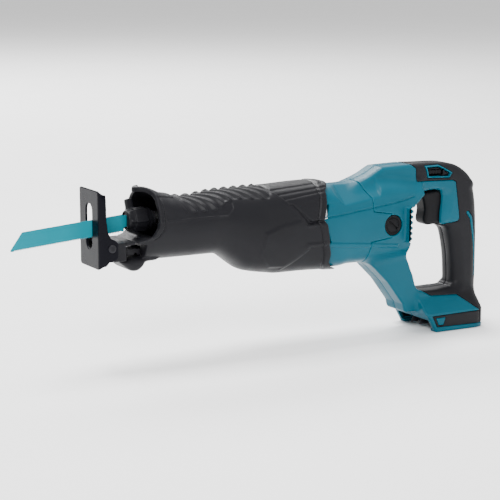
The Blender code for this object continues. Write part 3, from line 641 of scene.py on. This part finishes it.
def make_cover():
    grid = Grid((20, -43, -78), (288, 43, 40), CASE_STEP)
    x, z = grid.x, grid.z
    base = barrel(grid, COVER)
    outer = cover_details(grid, base)
    mouth = cover_mouth(grid)
    above = ramp(z, -19, -15)
    lip = np.abs(mouth + 2.8) - 2.6
    outer = outer - MOUTH_LIP_HEIGHT * within(lip, 0.9) * above
    outer = outer + MOUTH_GROOVE_DEPTH * mound(np.abs(mouth + 1.6 + MOUTH_LIP), 1.5) * above
    outer = trim(outer, mouth, 1.6)
    floor = np.interp(x, (62, 80), (-16.5, -60)) - z
    inner = np.maximum(base + np.interp(x, (62, 72), (3.4, COVER_WALL)), floor)
    field = np.maximum(outer, -inner)
    chin = slab(grid, outline_distance(x, z, curved(CHIN, 3)), CHIN_HALF_WIDTH, CHIN_EDGE)
    field = merge(field, chin, 3.0)
    bar_way = np.maximum(grid.side - BAR_HALF_WIDTH, np.abs(z - BAR_LEVEL) - BAR_HALF_HEIGHT)
    field = trim(field, -np.maximum(bar_way, x - 66), 0.8)
    hole = np.hypot(x - LOCK_CENTRE[0], z - LOCK_CENTRE[1]) - LOCK_RADIUS
    hole = np.maximum(np.maximum(hole, z + 37), LOCK_DEPTH - grid.y)
    field = np.maximum(field, -hole)
    rear = outline_distance(x, z, (*COVER_REAR, (10, -80), (10, 40)))
    field = trim(field, rear, 1.2)
    field_piece("soft_cover", grid, field, SOFT, "root", ["front_boot"])


# ---------------------------------------------------------------- casing


def foot_field(grid):
    """The battery foot: steep shoulders, upright sides and rounded rear corners."""
    z = grid.z
    heights = [row[0] for row in FOOT]
    front = np.interp(z, heights, [row[1] for row in FOOT])
    half = np.interp(z, heights, [row[2] for row in FOOT])
    centre, length = (front + FOOT_REAR) / 2, (FOOT_REAR - front) / 2
    rearward = ramp(grid.x, 410, 450)
    corner = np.minimum(FOOT_CORNER, half) * rearward + FOOT_FRONT_CORNER * (1 - rearward)
    plan = round_join(np.abs(grid.x - centre) - length, grid.side - half, corner)
    sloped = plan * np.where(z > -131.6, 0.72, 0.97)
    return np.maximum(sloped, np.maximum(FOOT_LOW - z, z - FOOT_HIGH))


def loop_field(grid):
    x, z = grid.x, grid.z
    loop = outline_distance(x, z, (*curved(LOOP_BACK, 4, closed=False), *LOOP_FRONT))
    window = outline_distance(x, z, curved(WINDOW, 4))
    flat = np.maximum(loop, -window)
    grip = ramp(x, 424, 442) * (1 - ramp(z, 2, 14))
    top_bar = ramp(x, 384, 400) * ramp(z, 8, 18)
    strut = ramp(-z, 62, 78) * (1 - ramp(x, 388, 400))
    edge = 5.5 + 9.5 * grip + 4.5 * top_bar - 3.1 * strut
    half = LOOP_HALF_WIDTH + 1.6 * (1 - ramp(x, 396, 420)) * (1 - ramp(z, -70, -50))
    return slab(grid, flat, half, edge), window


def vent_distance(grid):
    """Distance in side view to the middle lines of the vent slots."""
    return np.minimum(*(line_distance(grid.x, grid.z, slot) for slot in CASE_SLOTS))


def casing_details(grid, field):
    """Creases, belt, grooves and vents on the sides of the casing."""
    x, z, side = grid.x, grid.z, grid.side
    aside = ramp(side, 19, 24)
    groove = line_distance(x, z, CASE_GROOVE)
    field = field + CASE_GROOVE_DEPTH * mound(groove, 1.5) * aside
    belt = within(outline_distance(x, z, BELT), 1.0)
    field = field - BELT_HEIGHT * belt * aside
    field = np.maximum(field, -np.maximum(vent_distance(grid) - VENT_HALF_WIDTH, 30 - side))
    pitch = (FIN_SPAN[1] - FIN_SPAN[0]) / FIN_COUNT
    wave = 0.5 - 0.5 * np.cos(2 * math.pi * (z - FIN_SPAN[0]) / pitch)
    fins = ramp(z, FIN_SPAN[0] - 1, FIN_SPAN[0]) * (1 - ramp(z, FIN_SPAN[1], FIN_SPAN[1] + 1))
    fins = fins * ramp(x, 372.5, 374.5) * (1 - ramp(x, 384, 386))
    return field + FIN_DEPTH * wave**2 * fins


def casing_field(grid):
    """The whole hard casing and grip as one solid, with its details."""
    x, z, side = grid.x, grid.z, grid.side
    motor = barrel(grid, CASE)
    crease = track(x, CASE_CREASE, 1, 1.0)
    chamfer = 0.6 * side + 0.8 * z - (0.6 * CREASE_HALF_WIDTH + 0.8 * crease)
    motor = trim(motor, chamfer, 1.0)
    motor = trim(motor, x - 397, 4.0)
    loop, window = loop_field(grid)
    solid = merge(motor, loop, 9.0)
    solid = merge(solid, foot_field(grid), 5.0)
    solid = trim(solid, -window, 2.5)
    boss = np.maximum(x - BOSS_X, 0.83 * (x - BOSS_X) + 0.555 * (side - BOSS_HALF))
    solid = merge(solid, np.maximum(np.maximum(boss, np.abs(z + 26.0) - 19.0), 366 - x), 4.0)
    solid = casing_details(grid, solid)
    cap = np.hypot(x - CAP_CENTRE[0], z - CAP_CENTRE[1]) - CAP_RADIUS - 0.5
    solid = trim(solid, -np.maximum(cap, 29.5 - side), 0.8)
    rails = np.maximum(side - RAIL_HALF, z - RAIL_ROOF)
    lips = np.maximum(side - LIP_HALF, z - RAIL_LIP)
    rails = np.maximum(np.minimum(np.maximum(rails, RAIL_LIP - z), lips), x - RAIL_BACK)
    solid = np.maximum(solid, -rails)
    trigger_room = np.maximum(np.abs(z + 15.2) - 20.6, np.abs(x - 436) - 13)
    return np.maximum(solid, -np.maximum(side - 11.4, trigger_room))


def grip_field(grid):
    """Distance in side view to the edge of the soft grip, with the windows in it left out."""
    x, z = grid.x, grid.z
    area = outline_distance(x, z, GRIP_AREA)
    accent = line_distance(x, z, ACCENT) - ACCENT_HALF_WIDTH * (1 - 0.55 * ramp(-z, 76, 99))
    rim = outline_distance(x, z, LOCK_RIM)
    ring = np.maximum(rim, -(rim + LOCK_RIM_WIDTH))
    return np.maximum(area, -np.minimum(accent, ring))


def button_room(grid):
    """The straight way through both sides for the lock button."""
    low, high = tool_box("lock_off_button")
    along = np.abs(grid.x - (low[0] + high[0]) / 2) - (high[0] - low[0]) / 2
    upward = np.abs(grid.z - (low[2] + high[2]) / 2) - (high[2] - low[2]) / 2
    return np.maximum(along, upward) - 0.5


def make_casing():
    grid = Grid((244, -43, -159), (490, 43, 44), CASE_STEP)
    x, z, side = grid.x, grid.z, grid.side
    solid = casing_field(grid)
    seam = outline_distance(x, z, CASE_SEAM)
    soft = grip_field(grid)
    bumper = np.maximum(outline_distance(x, z, BUMPER), -outline_distance(x, z, BUMPER_INSET))
    bumper = np.maximum(bumper, 30 - side)
    rim = outline_distance(x, z, LOCK_RIM)
    solid = solid + 0.8 * mound(np.abs(seam), 1.0) * ramp(side, 3, 6)
    solid = solid + 0.7 * mound(np.abs(soft), 1.1)
    solid = solid + 0.6 * mound(np.abs(bumper), 1.0) * ramp(side, 30, 31)
    solid = solid + 0.5 * mound(side, 0.9)
    solid = solid + 2.8 * within(rim + LOCK_RIM_WIDTH, 1.0) * ramp(side, 11, 13)
    solid = solid - 0.7 * within(np.abs(rim + 1.1) - 1.1, 1.0) * ramp(side, 11, 13)
    shell = np.maximum(hollowed(solid, SHELL_WALL), -button_room(grid))
    tight = 0.12
    front = np.maximum(shell, seam + tight)
    field_piece("motor_case", grid, front, HARD, "root", ["motor_housing"])
    screen = vent_distance(grid) - VENT_SCREEN_HALF_WIDTH
    screen = np.maximum(screen, np.abs(solid + SHELL_WALL + 1.0) - 0.7)
    screen = np.maximum(screen, 25 - side)
    field_piece("vent_screens", grid, screen, SATIN, "root", [])
    rear = np.maximum(shell, tight - seam)
    hard = np.maximum(np.maximum(rear, tight - soft), tight - bumper)
    skin = np.maximum(np.maximum(rear, soft + tight), tight - bumper)
    pad = np.maximum(rear, bumper + tight)
    for side_name, half in (("left", grid.y + tight), ("right", tight - grid.y)):
        field_piece(
            f"case_{side_name}", grid, np.maximum(hard, half), HARD, "root",
            [f"handle_{side_name}"],
        )
        field_piece(
            f"soft_grip_{side_name}", grid, np.maximum(skin, half), SOFT, "root",
            [f"grip_{side_name}"],
        )
        field_piece(
            f"bumper_{side_name}", grid, np.maximum(pad, half), SOFT, "root",
            [f"foot_pad_{side_name}"],
        )


# ---------------------------------------------------------------- small parts


def make_trigger():
    grid = Grid((399, -14, -40), (446, 14, 9), SMALL_STEP)
    flat = outline_distance(grid.x, grid.z, curved(TRIGGER, 4))
    field = slab(grid, flat, 10.6, 4.2)
    field = np.maximum(field, grid.x - tool_box("trigger")[1][0])
    field_piece("trigger_lever", grid, field, SATIN, "trigger", ["trigger"])


def make_lock_button():
    """The cross button, with three finger ribs on each end."""
    low, high = tool_box("lock_off_button")
    grid = Grid(low - 2, high + 2, SMALL_STEP)
    centre, half = (low + high) / 2, (high - low) / 2
    edge = 1.6
    offsets = [
        np.abs(axis - c) - h + edge
        for axis, c, h in zip((grid.x, grid.y, grid.z), centre, half)
    ]
    outside = np.sqrt(sum(np.maximum(offset, 0) ** 2 for offset in offsets))
    inside = np.maximum(np.maximum(offsets[0], offsets[1]), offsets[2])
    field = outside + np.minimum(inside, 0) - edge
    ends = ramp(np.abs(grid.y - centre[1]), half[1] - 3, half[1] - 2)
    wave = 0.5 + 0.5 * np.cos(2 * math.pi * (grid.x - centre[0]) / 4.4)
    field = field + 0.7 * wave * ends
    field_piece("lock_button", grid, field, SATIN, "lock_off", ["lock_off_button"])


def make_caps():
    """The screw-in caps over the carbon brushes, with a rim and a coin slot."""
    x0, z0 = CAP_CENTRE
    inner, outer, slot_floor = 28.8, 35.4, 32.8
    slot_half_width, slot_half_length, turn = 1.2, 7.0, math.radians(-38)
    for name, sign in (("left", -1), ("right", 1)):
        low = (x0 - 13, min(sign * 27, sign * 38), z0 - 13)
        high = (x0 + 13, max(sign * 27, sign * 38), z0 + 13)
        grid = Grid(low, high, SMALL_STEP)
        radius = np.hypot(grid.x - x0, grid.z - z0)
        outward = grid.y * sign
        ring = ramp(radius, 7.4, 8.2) * (1 - ramp(radius, 8.8, 9.6))
        face = outer - 1.0 * ring - 0.5 * ramp(radius, 0, 7.4)
        ends = np.maximum(outward - face, inner - outward)
        field = trim(radius - CAP_RADIUS, ends, 1.2)
        along = (grid.x - x0) * math.cos(turn) + (grid.z - z0) * math.sin(turn)
        across = (grid.z - z0) * math.cos(turn) - (grid.x - x0) * math.sin(turn)
        slot = np.maximum(np.abs(across) - slot_half_width, np.abs(along) - slot_half_length)
        field = np.maximum(field, -np.maximum(slot, slot_floor - outward))
        field_piece(f"cap_{name}", grid, field, SATIN, "root", [f"brush_cap_{name}"])


def make_shoe():
    """The bent plate: rounded bends and corners, a long slot, and ears on the pivot."""
    low, high = tool_box("shoe_plate")
    grid = Grid(low - 2, high + 2, SMALL_STEP)
    x, z = grid.x, grid.z
    front, bottom, top = low[0], low[2], high[2]
    aside = grid.side - high[1]
    bent = round_join(front - x, aside, SHOE_BEND)
    sheet = np.abs(bent + SHOE_SHEET / 2) - SHOE_SHEET / 2
    profile = (
        (front - 9, bottom),
        (front + 7.2, bottom),
        (front + 8.0, bottom + 4.5),
        (front + 10.5, bottom + 8.0),
        (high[0] - 3, SHOE_PIVOT[2] - 12.8),
        (high[0], SHOE_PIVOT[2] - 9.8),
        (high[0], SHOE_PIVOT[2] + 5.0),
        (high[0] - 3, SHOE_PIVOT[2] + 8.2),
        (front + 12.5, SHOE_PIVOT[2] + 10.5),
        (front + 9.2, SHOE_PIVOT[2] + 17.5),
        (front + 7.8, SHOE_PIVOT[2] + 28),
        (front + 7.4, top),
        (front - 9, top),
    )
    upright = np.abs(z - (top + bottom) / 2) - (top - bottom) / 2
    face = round_join(upright, aside, SHOE_CORNER)
    field = trim(trim(sheet, outline_distance(x, z, profile), 0.9), face, 0.9)
    inside = np.clip(z, SHOE_SLOT_LOW + SHOE_SLOT_HALF, SHOE_SLOT_HIGH - SHOE_SLOT_HALF)
    slot = np.hypot(grid.y, z - inside) - SHOE_SLOT_HALF
    field = trim(field, -np.maximum(slot, x - front - 6), 0.9)
    hole = np.hypot(x - SHOE_PIVOT[0], z - SHOE_PIVOT[2]) - SHOE_HOLE_RADIUS
    field = np.maximum(field, -hole)
    field_piece("shoe_sheet", grid, field, GLOSS, "shoe", ["shoe_plate"], 0.6)


def make_bracket():
    """The folded bracket that the shoe turns on, with a bridge across its top."""
    low, high = tool_box("shoe_bracket")
    grid = Grid(low - 2, high + (BRIDGE_REAR - high[0] + 2, 2, 2), SMALL_STEP)
    x, z, side = grid.x, grid.z, grid.side
    bent = round_join(x - high[0], side - high[1], BRACKET_BEND)
    field = np.abs(bent + BRACKET_SHEET / 2) - BRACKET_SHEET / 2
    profile = (
        (low[0], low[2] + 5),
        (low[0] + 4, low[2]),
        (high[0] + 9, low[2]),
        (high[0] + 9, high[2]),
        (low[0] + 3, high[2]),
        (low[0], high[2] - 3),
    )
    field = trim(field, outline_distance(x, z, profile), 1.0)
    level = np.abs(z - high[2] + 2.0) - BRIDGE_HALF_THICKNESS
    bridge = np.maximum(level, side - high[1] + 2.0)
    bridge = np.maximum(bridge, np.maximum(low[0] + BRIDGE_FRONT - x, x - BRIDGE_REAR))
    field = np.minimum(field, bridge)
    hole = np.hypot(x - SHOE_PIVOT[0], z - SHOE_PIVOT[2]) - BRACKET_HOLE_RADIUS
    field = np.maximum(field, -hole)
    field_piece("bracket", grid, field, DARK_STEEL, "shoe_slide", ["shoe_bracket"], 0.6)


def make_clamp():
    """The turning sleeve round the blade's clamp: ribbed, with a finger lever."""
    grid = Grid((37, -26, -16), (68, 26, 26), SMALL_STEP)
    x = grid.x
    radius = np.hypot(grid.y, grid.z)
    angle = np.arctan2(grid.z, grid.y)
    size = np.interp(x, [row[0] for row in SLEEVE], [row[1] for row in SLEEVE])
    ribs = (0.5 + 0.5 * np.cos(6 * angle)) ** 6 * ramp(x, 41, 42.5) * (1 - ramp(x, 60, 61.5))
    field = radius - size - 1.3 * ribs
    along = grid.y * math.sin(LEVER_LEAN) + grid.z * math.cos(LEVER_LEAN)
    across = grid.y * math.cos(LEVER_LEAN) - grid.z * math.sin(LEVER_LEAN)
    lever = np.maximum(np.abs(across) - 2.7, np.abs(along - 15.5) - 6.6)
    lever = trim(lever, np.abs(x - 46) - 4.0, 1.6)
    field = merge(field, lever, 2.0)
    field = trim(field, np.abs(x - 52.25) - 13.7, 0.8)
    field = np.maximum(field, SLEEVE_BORE - radius)
    field_piece("clamp", grid, field, DARK_STEEL, "clamp_sleeve", ["clamp_sleeve"], 0.6)


def blade_edge():
    """The blade's outline along and across it, and how far each point is set to one side."""
    half = BLADE_HALF
    edge = [
        (0.0, half), (-2.0, 7.7), (-BLADE_SHANK, 7.7), (-BLADE_SHANK, -4.3), (-1.0, -4.3), (0.0, -half),
    ]
    lean = [0.0] * len(edge)
    for tooth in range(int((BLADE_TIP - 6.0) / TOOTH_PITCH)):
        start = 4.0 + tooth * TOOTH_PITCH
        edge.append((start, -half + TOOTH_DEPTH))
        edge.append((start + 0.25 * TOOTH_PITCH, -half + TOOTH_DEPTH))
        edge.append((start + 0.8 * TOOTH_PITCH, -half))
        lean += [0.0, 0.0, (-1, 1)[tooth % 2] * TOOTH_SET]
    tip = [
        (BLADE_TIP - 1.3, -half + 0.1),
        (BLADE_TIP - 0.3, -half + 0.6),
        (BLADE_TIP - 0.5, -half + 1.5),
        (BLADE_UPPER + 0.5, half - 0.6),
        (BLADE_UPPER - 0.6, half),
    ]
    return edge + tip, lean + [0.0] * len(tip)


def make_blade():
    """A straight blade with a slanted tip, set teeth on its lower edge, and its shank."""
    edge, lean = blade_edge()
    along, up = math.cos(BLADE_CANT), math.sin(BLADE_CANT)
    points = []
    for face in (-BLADE_HALF_THICKNESS, BLADE_HALF_THICKNESS):
        for (u, v), out in zip(edge, lean):
            x = BLADE_ROOT[0] - u * along - v * up
            z = BLADE_ROOT[1] - u * up + v * along
            points.append((x, face + out, z))
    size = len(edge)
    faces = [list(range(size)), list(range(2 * size - 1, size - 1, -1))]
    for i in range(size):
        following = (i + 1) % size
        faces.append([following, i, size + i, size + following])
    obj = new_object("blade", points, faces)
    finish_piece(obj, BLADE_PAINT, "slider", ["saw_blade"], 30)


# ---------------------------------------------------------------- materials


class Nodes:
    """A material's node tree, with short calls to add and join nodes."""

    def __init__(self, name):
        self.material = bpy.data.materials.new(name)
        self.material.use_nodes = True
        self.tree = self.material.node_tree
        self.shader = self.tree.nodes["Principled BSDF"]

    def add(self, kind, **values):
        node = self.tree.nodes.new(kind)
        for key, value in values.items():
            if key in node.inputs:
                node.inputs[key].default_value = value
            else:
                setattr(node, key, value)
        return node

    def join(self, source, target):
        self.tree.links.new(source, target)

    def noise(self, scale, detail=3.0, rough=0.5):
        node = self.add("ShaderNodeTexNoise", Scale=scale, Detail=detail, Roughness=rough)
        self.join(self.add("ShaderNodeTexCoord").outputs["Object"], node.inputs["Vector"])
        return node.outputs["Fac"]

    def spread(self, value, low, high, start=0.3, end=0.7):
        node = self.add("ShaderNodeMapRange")
        for name, number in (("From Min", start), ("From Max", end), ("To Min", low), ("To Max", high)):
            node.inputs[name].default_value = number
        self.join(value, node.inputs["Value"])
        return node.outputs["Result"]

    def mix(self, share, first, second):
        node = self.add("ShaderNodeMix", data_type="RGBA")
        for socket, colour in ((node.inputs[6], first), (node.inputs[7], second)):
            if isinstance(colour, tuple):
                socket.default_value = (*colour, 1.0)
            else:
                self.join(colour, socket)
        self.join(share, node.inputs[0])
        return node.outputs[2]


def moulded(name, colour, edge_highlight, roughness, grain, depth, specular=0.5):
    """Moulded plastic or rubber: fine grain, soft colour drift, and a painted highlight that mixes raised
    edges towards a paler colour.
    """
    nodes = Nodes(name)
    shade = tuple(0.86 * value for value in colour)
    drift = nodes.spread(nodes.noise(18.0), 0.0, 1.0)
    base = nodes.mix(drift, shade, colour)
    geometry = nodes.add("ShaderNodeNewGeometry")
    # Convex edges, found by pointiness, turn towards the paler colour: a painted highlight along raised
    # edges and creases.
    highlight_edges = nodes.spread(geometry.outputs["Pointiness"], 0.0, 0.55, 0.52, 0.62)
    nodes.join(nodes.mix(highlight_edges, base, edge_highlight), nodes.shader.inputs["Base Color"])
    smear = nodes.spread(nodes.noise(55.0, 4.0), roughness - 0.05, roughness + 0.06)
    nodes.join(smear, nodes.shader.inputs["Roughness"])
    bump = nodes.add("ShaderNodeBump", Strength=depth, Distance=0.0003)
    nodes.join(nodes.noise(grain, 2.0, 0.6), bump.inputs["Height"])
    nodes.join(bump.outputs["Normal"], nodes.shader.inputs["Normal"])
    nodes.shader.inputs["Specular IOR Level"].default_value = specular
    return nodes.material


def metal(name, colour, roughness, grain=(60.0, 60.0, 900.0), metallic=1.0):
    """Ground or oxidised metal, with a fine directional grain."""
    nodes = Nodes(name)
    place = nodes.add("ShaderNodeMapping")
    place.inputs["Scale"].default_value = grain
    nodes.join(nodes.add("ShaderNodeTexCoord").outputs["Object"], place.inputs["Vector"])
    streaks = nodes.add("ShaderNodeTexNoise", Scale=6.0, Detail=3.0)
    nodes.join(place.outputs["Vector"], streaks.inputs["Vector"])
    dark = tuple(0.72 * value for value in colour)
    share = nodes.spread(streaks.outputs["Fac"], 0.0, 1.0)
    nodes.join(nodes.mix(share, dark, colour), nodes.shader.inputs["Base Color"])
    rough = nodes.spread(nodes.noise(70.0), roughness - 0.06, roughness + 0.08)
    nodes.join(rough, nodes.shader.inputs["Roughness"])
    nodes.shader.inputs["Metallic"].default_value = metallic
    bump = nodes.add("ShaderNodeBump", Strength=0.12, Distance=0.0002)
    nodes.join(streaks.outputs["Fac"], bump.inputs["Height"])
    nodes.join(bump.outputs["Normal"], nodes.shader.inputs["Normal"])
    return nodes.material


# The third value of each finish is the paler colour of its painted highlight on raised edges.
HARD = moulded("teal_casing", (0.0, 0.078, 0.118), (0.0, 0.18, 0.25), 0.38, 1500.0, 0.08, 0.16)
SOFT = moulded("soft_elastomer", (0.0065, 0.0065, 0.0085), (0.026, 0.026, 0.031), 0.44, 2200.0, 0.2, 0.16)
SATIN = moulded("black_moulding", (0.005, 0.005, 0.0062), (0.018, 0.018, 0.022), 0.42, 1700.0, 0.12, 0.12)
GLOSS = moulded("black_coat", (0.0025, 0.0025, 0.005), (0.02, 0.02, 0.026), 0.24, 500.0, 0.03, 0.07)
BLADE_PAINT = moulded("blade_paint", (0.0, 0.19, 0.245), (0.0, 0.24, 0.30), 0.36, 700.0, 0.05, 0.08)
DARK_STEEL = moulded("oxide_steel", (0.007, 0.007, 0.009), (0.03, 0.03, 0.035), 0.40, 600.0, 0.06, 0.14)
STEEL = metal("ground_steel", (0.60, 0.61, 0.63), 0.30)
ALUMINIUM = metal("cast_aluminium", (0.68, 0.69, 0.70), 0.45)
COPPER = metal("copper", (0.78, 0.40, 0.22), 0.32)
BRONZE = metal("bronze", (0.60, 0.40, 0.18), 0.38)
FERRITE = metal("ferrite", (0.06, 0.06, 0.065), 0.6, metallic=0.3)
CARBON = moulded("carbon", (0.03, 0.03, 0.032), (0.08, 0.08, 0.08), 0.6, 900.0, 0.3)
FELT = moulded("felt", (0.13, 0.12, 0.10), (0.18, 0.17, 0.15), 0.9, 1200.0, 0.6)

FINISHES = {
    "teal_plastic": HARD,
    "soft_black": SOFT,
    "black_plastic": SATIN,
    "black_coated_steel": GLOSS,
    "blade_paint": BLADE_PAINT,
    "dark_steel": DARK_STEEL,
    "steel": STEEL,
    "cast_aluminium": ALUMINIUM,
    "copper": COPPER,
    "bronze": BRONZE,
    "ferrite": FERRITE,
    "carbon": CARBON,
    "felt": FELT,
}


# Parts given dark steel instead of their slot's finish. The terminals are painted dark as painted shade
# for where they sit in shadow; their own metal is paler steel.
DARK_STEEL_OR_PAINTED_SHADE = ("shoe_pivot_pin", "shoe_slide_bar", "clamp_body", "terminal")


def finish_frame():
    """Every CAD part that stays gets the finish of its slot, except the listed ones, which get dark
    steel; on the terminals that dark steel is painted shade.
    """
    for part in frame["record"]["subparts"]:
        node = frame["nodes"][part["node"]]
        node.data.materials.clear()
        dark = part["node"].startswith(DARK_STEEL_OR_PAINTED_SHADE)
        node.data.materials.append(DARK_STEEL if dark else FINISHES[part["material_slot"]])
        node.data.shade_smooth()
        node.data.set_sharp_from_angle(angle=math.radians(35))


# ---------------------------------------------------------------- stage


def make_stage():
    nodes = Nodes("stage_paper")
    drift = nodes.spread(nodes.noise(3.0), 0.0, 1.0)
    paper = nodes.mix(drift, (0.96, 0.96, 0.96), (0.98, 0.98, 0.98))
    nodes.join(paper, nodes.shader.inputs["Base Color"])
    nodes.shader.inputs["Roughness"].default_value = 0.9
    size = 20.0
    mesh = bpy.data.meshes.new("floor")
    corners = [(u * size, v * size, -0.0005) for u, v in ((-1, -1), (1, -1), (1, 1), (-1, 1))]
    mesh.from_pydata(corners, [], [(0, 1, 2, 3)])
    mesh.materials.append(nodes.material)
    floor = bpy.data.objects.new("floor", mesh)
    bpy.context.scene.collection.objects.link(floor)


def make_light(name, place, target, size, power):
    lamp = bpy.data.lights.new(name, "AREA")
    lamp.shape = "RECTANGLE"
    lamp.size, lamp.size_y = size
    lamp.energy = power
    obj = bpy.data.objects.new(name, lamp)
    obj.location = place
    obj.rotation_euler = (Vector(target) - Vector(place)).to_track_quat("-Z", "Y").to_euler()
    bpy.context.scene.collection.objects.link(obj)


def make_lights():
    target = (0.0, 0.0, 0.1)
    make_light("key", (-1.3, -1.6, 1.5), target, (0.8, 0.6), 46)
    make_light("fill", (1.6, -1.5, 0.9), target, (1.4, 1.0), 8)
    make_light("top", (0.0, 0.4, 2.0), target, (1.2, 0.8), 60)
    make_light("back", (0.2, 3.4, 2.6), (0.1, 3.0, 0.0), (3.0, 2.0), 260)
    world = bpy.context.scene.world or bpy.data.worlds.new("studio")
    bpy.context.scene.world = world
    world.use_nodes = True
    sky = world.node_tree.nodes["Background"]
    sky.inputs["Color"].default_value = (1.0, 1.0, 1.0, 1.0)
    sky.inputs["Strength"].default_value = 0.9


def make_camera():
    """Front left and slightly above, from a distance."""
    azimuth, elevation = math.radians(CAMERA_AZIMUTH), math.radians(CAMERA_ELEVATION)
    target = Vector(CAMERA_TARGET) * MM + Vector(ORIGIN)
    away = Vector(
        (
            -math.sin(azimuth) * math.cos(elevation),
            -math.cos(azimuth) * math.cos(elevation),
            math.sin(elevation),
        )
    )
    data = bpy.data.cameras.new("camera")
    data.lens, data.sensor_width = CAMERA_LENS, CAMERA_SENSOR
    camera = bpy.data.objects.new("camera", data)
    camera.location = target + away * CAMERA_DISTANCE
    camera.rotation_euler = (-away).to_track_quat("-Z", "Y").to_euler()
    bpy.context.scene.collection.objects.link(camera)
    bpy.context.scene.camera = camera


finish_frame()
make_stage()
make_lights()
make_camera()
make_cover()
make_casing()
make_trigger()
make_lock_button()
make_caps()
make_shoe()
make_bracket()
make_clamp()
make_blade()
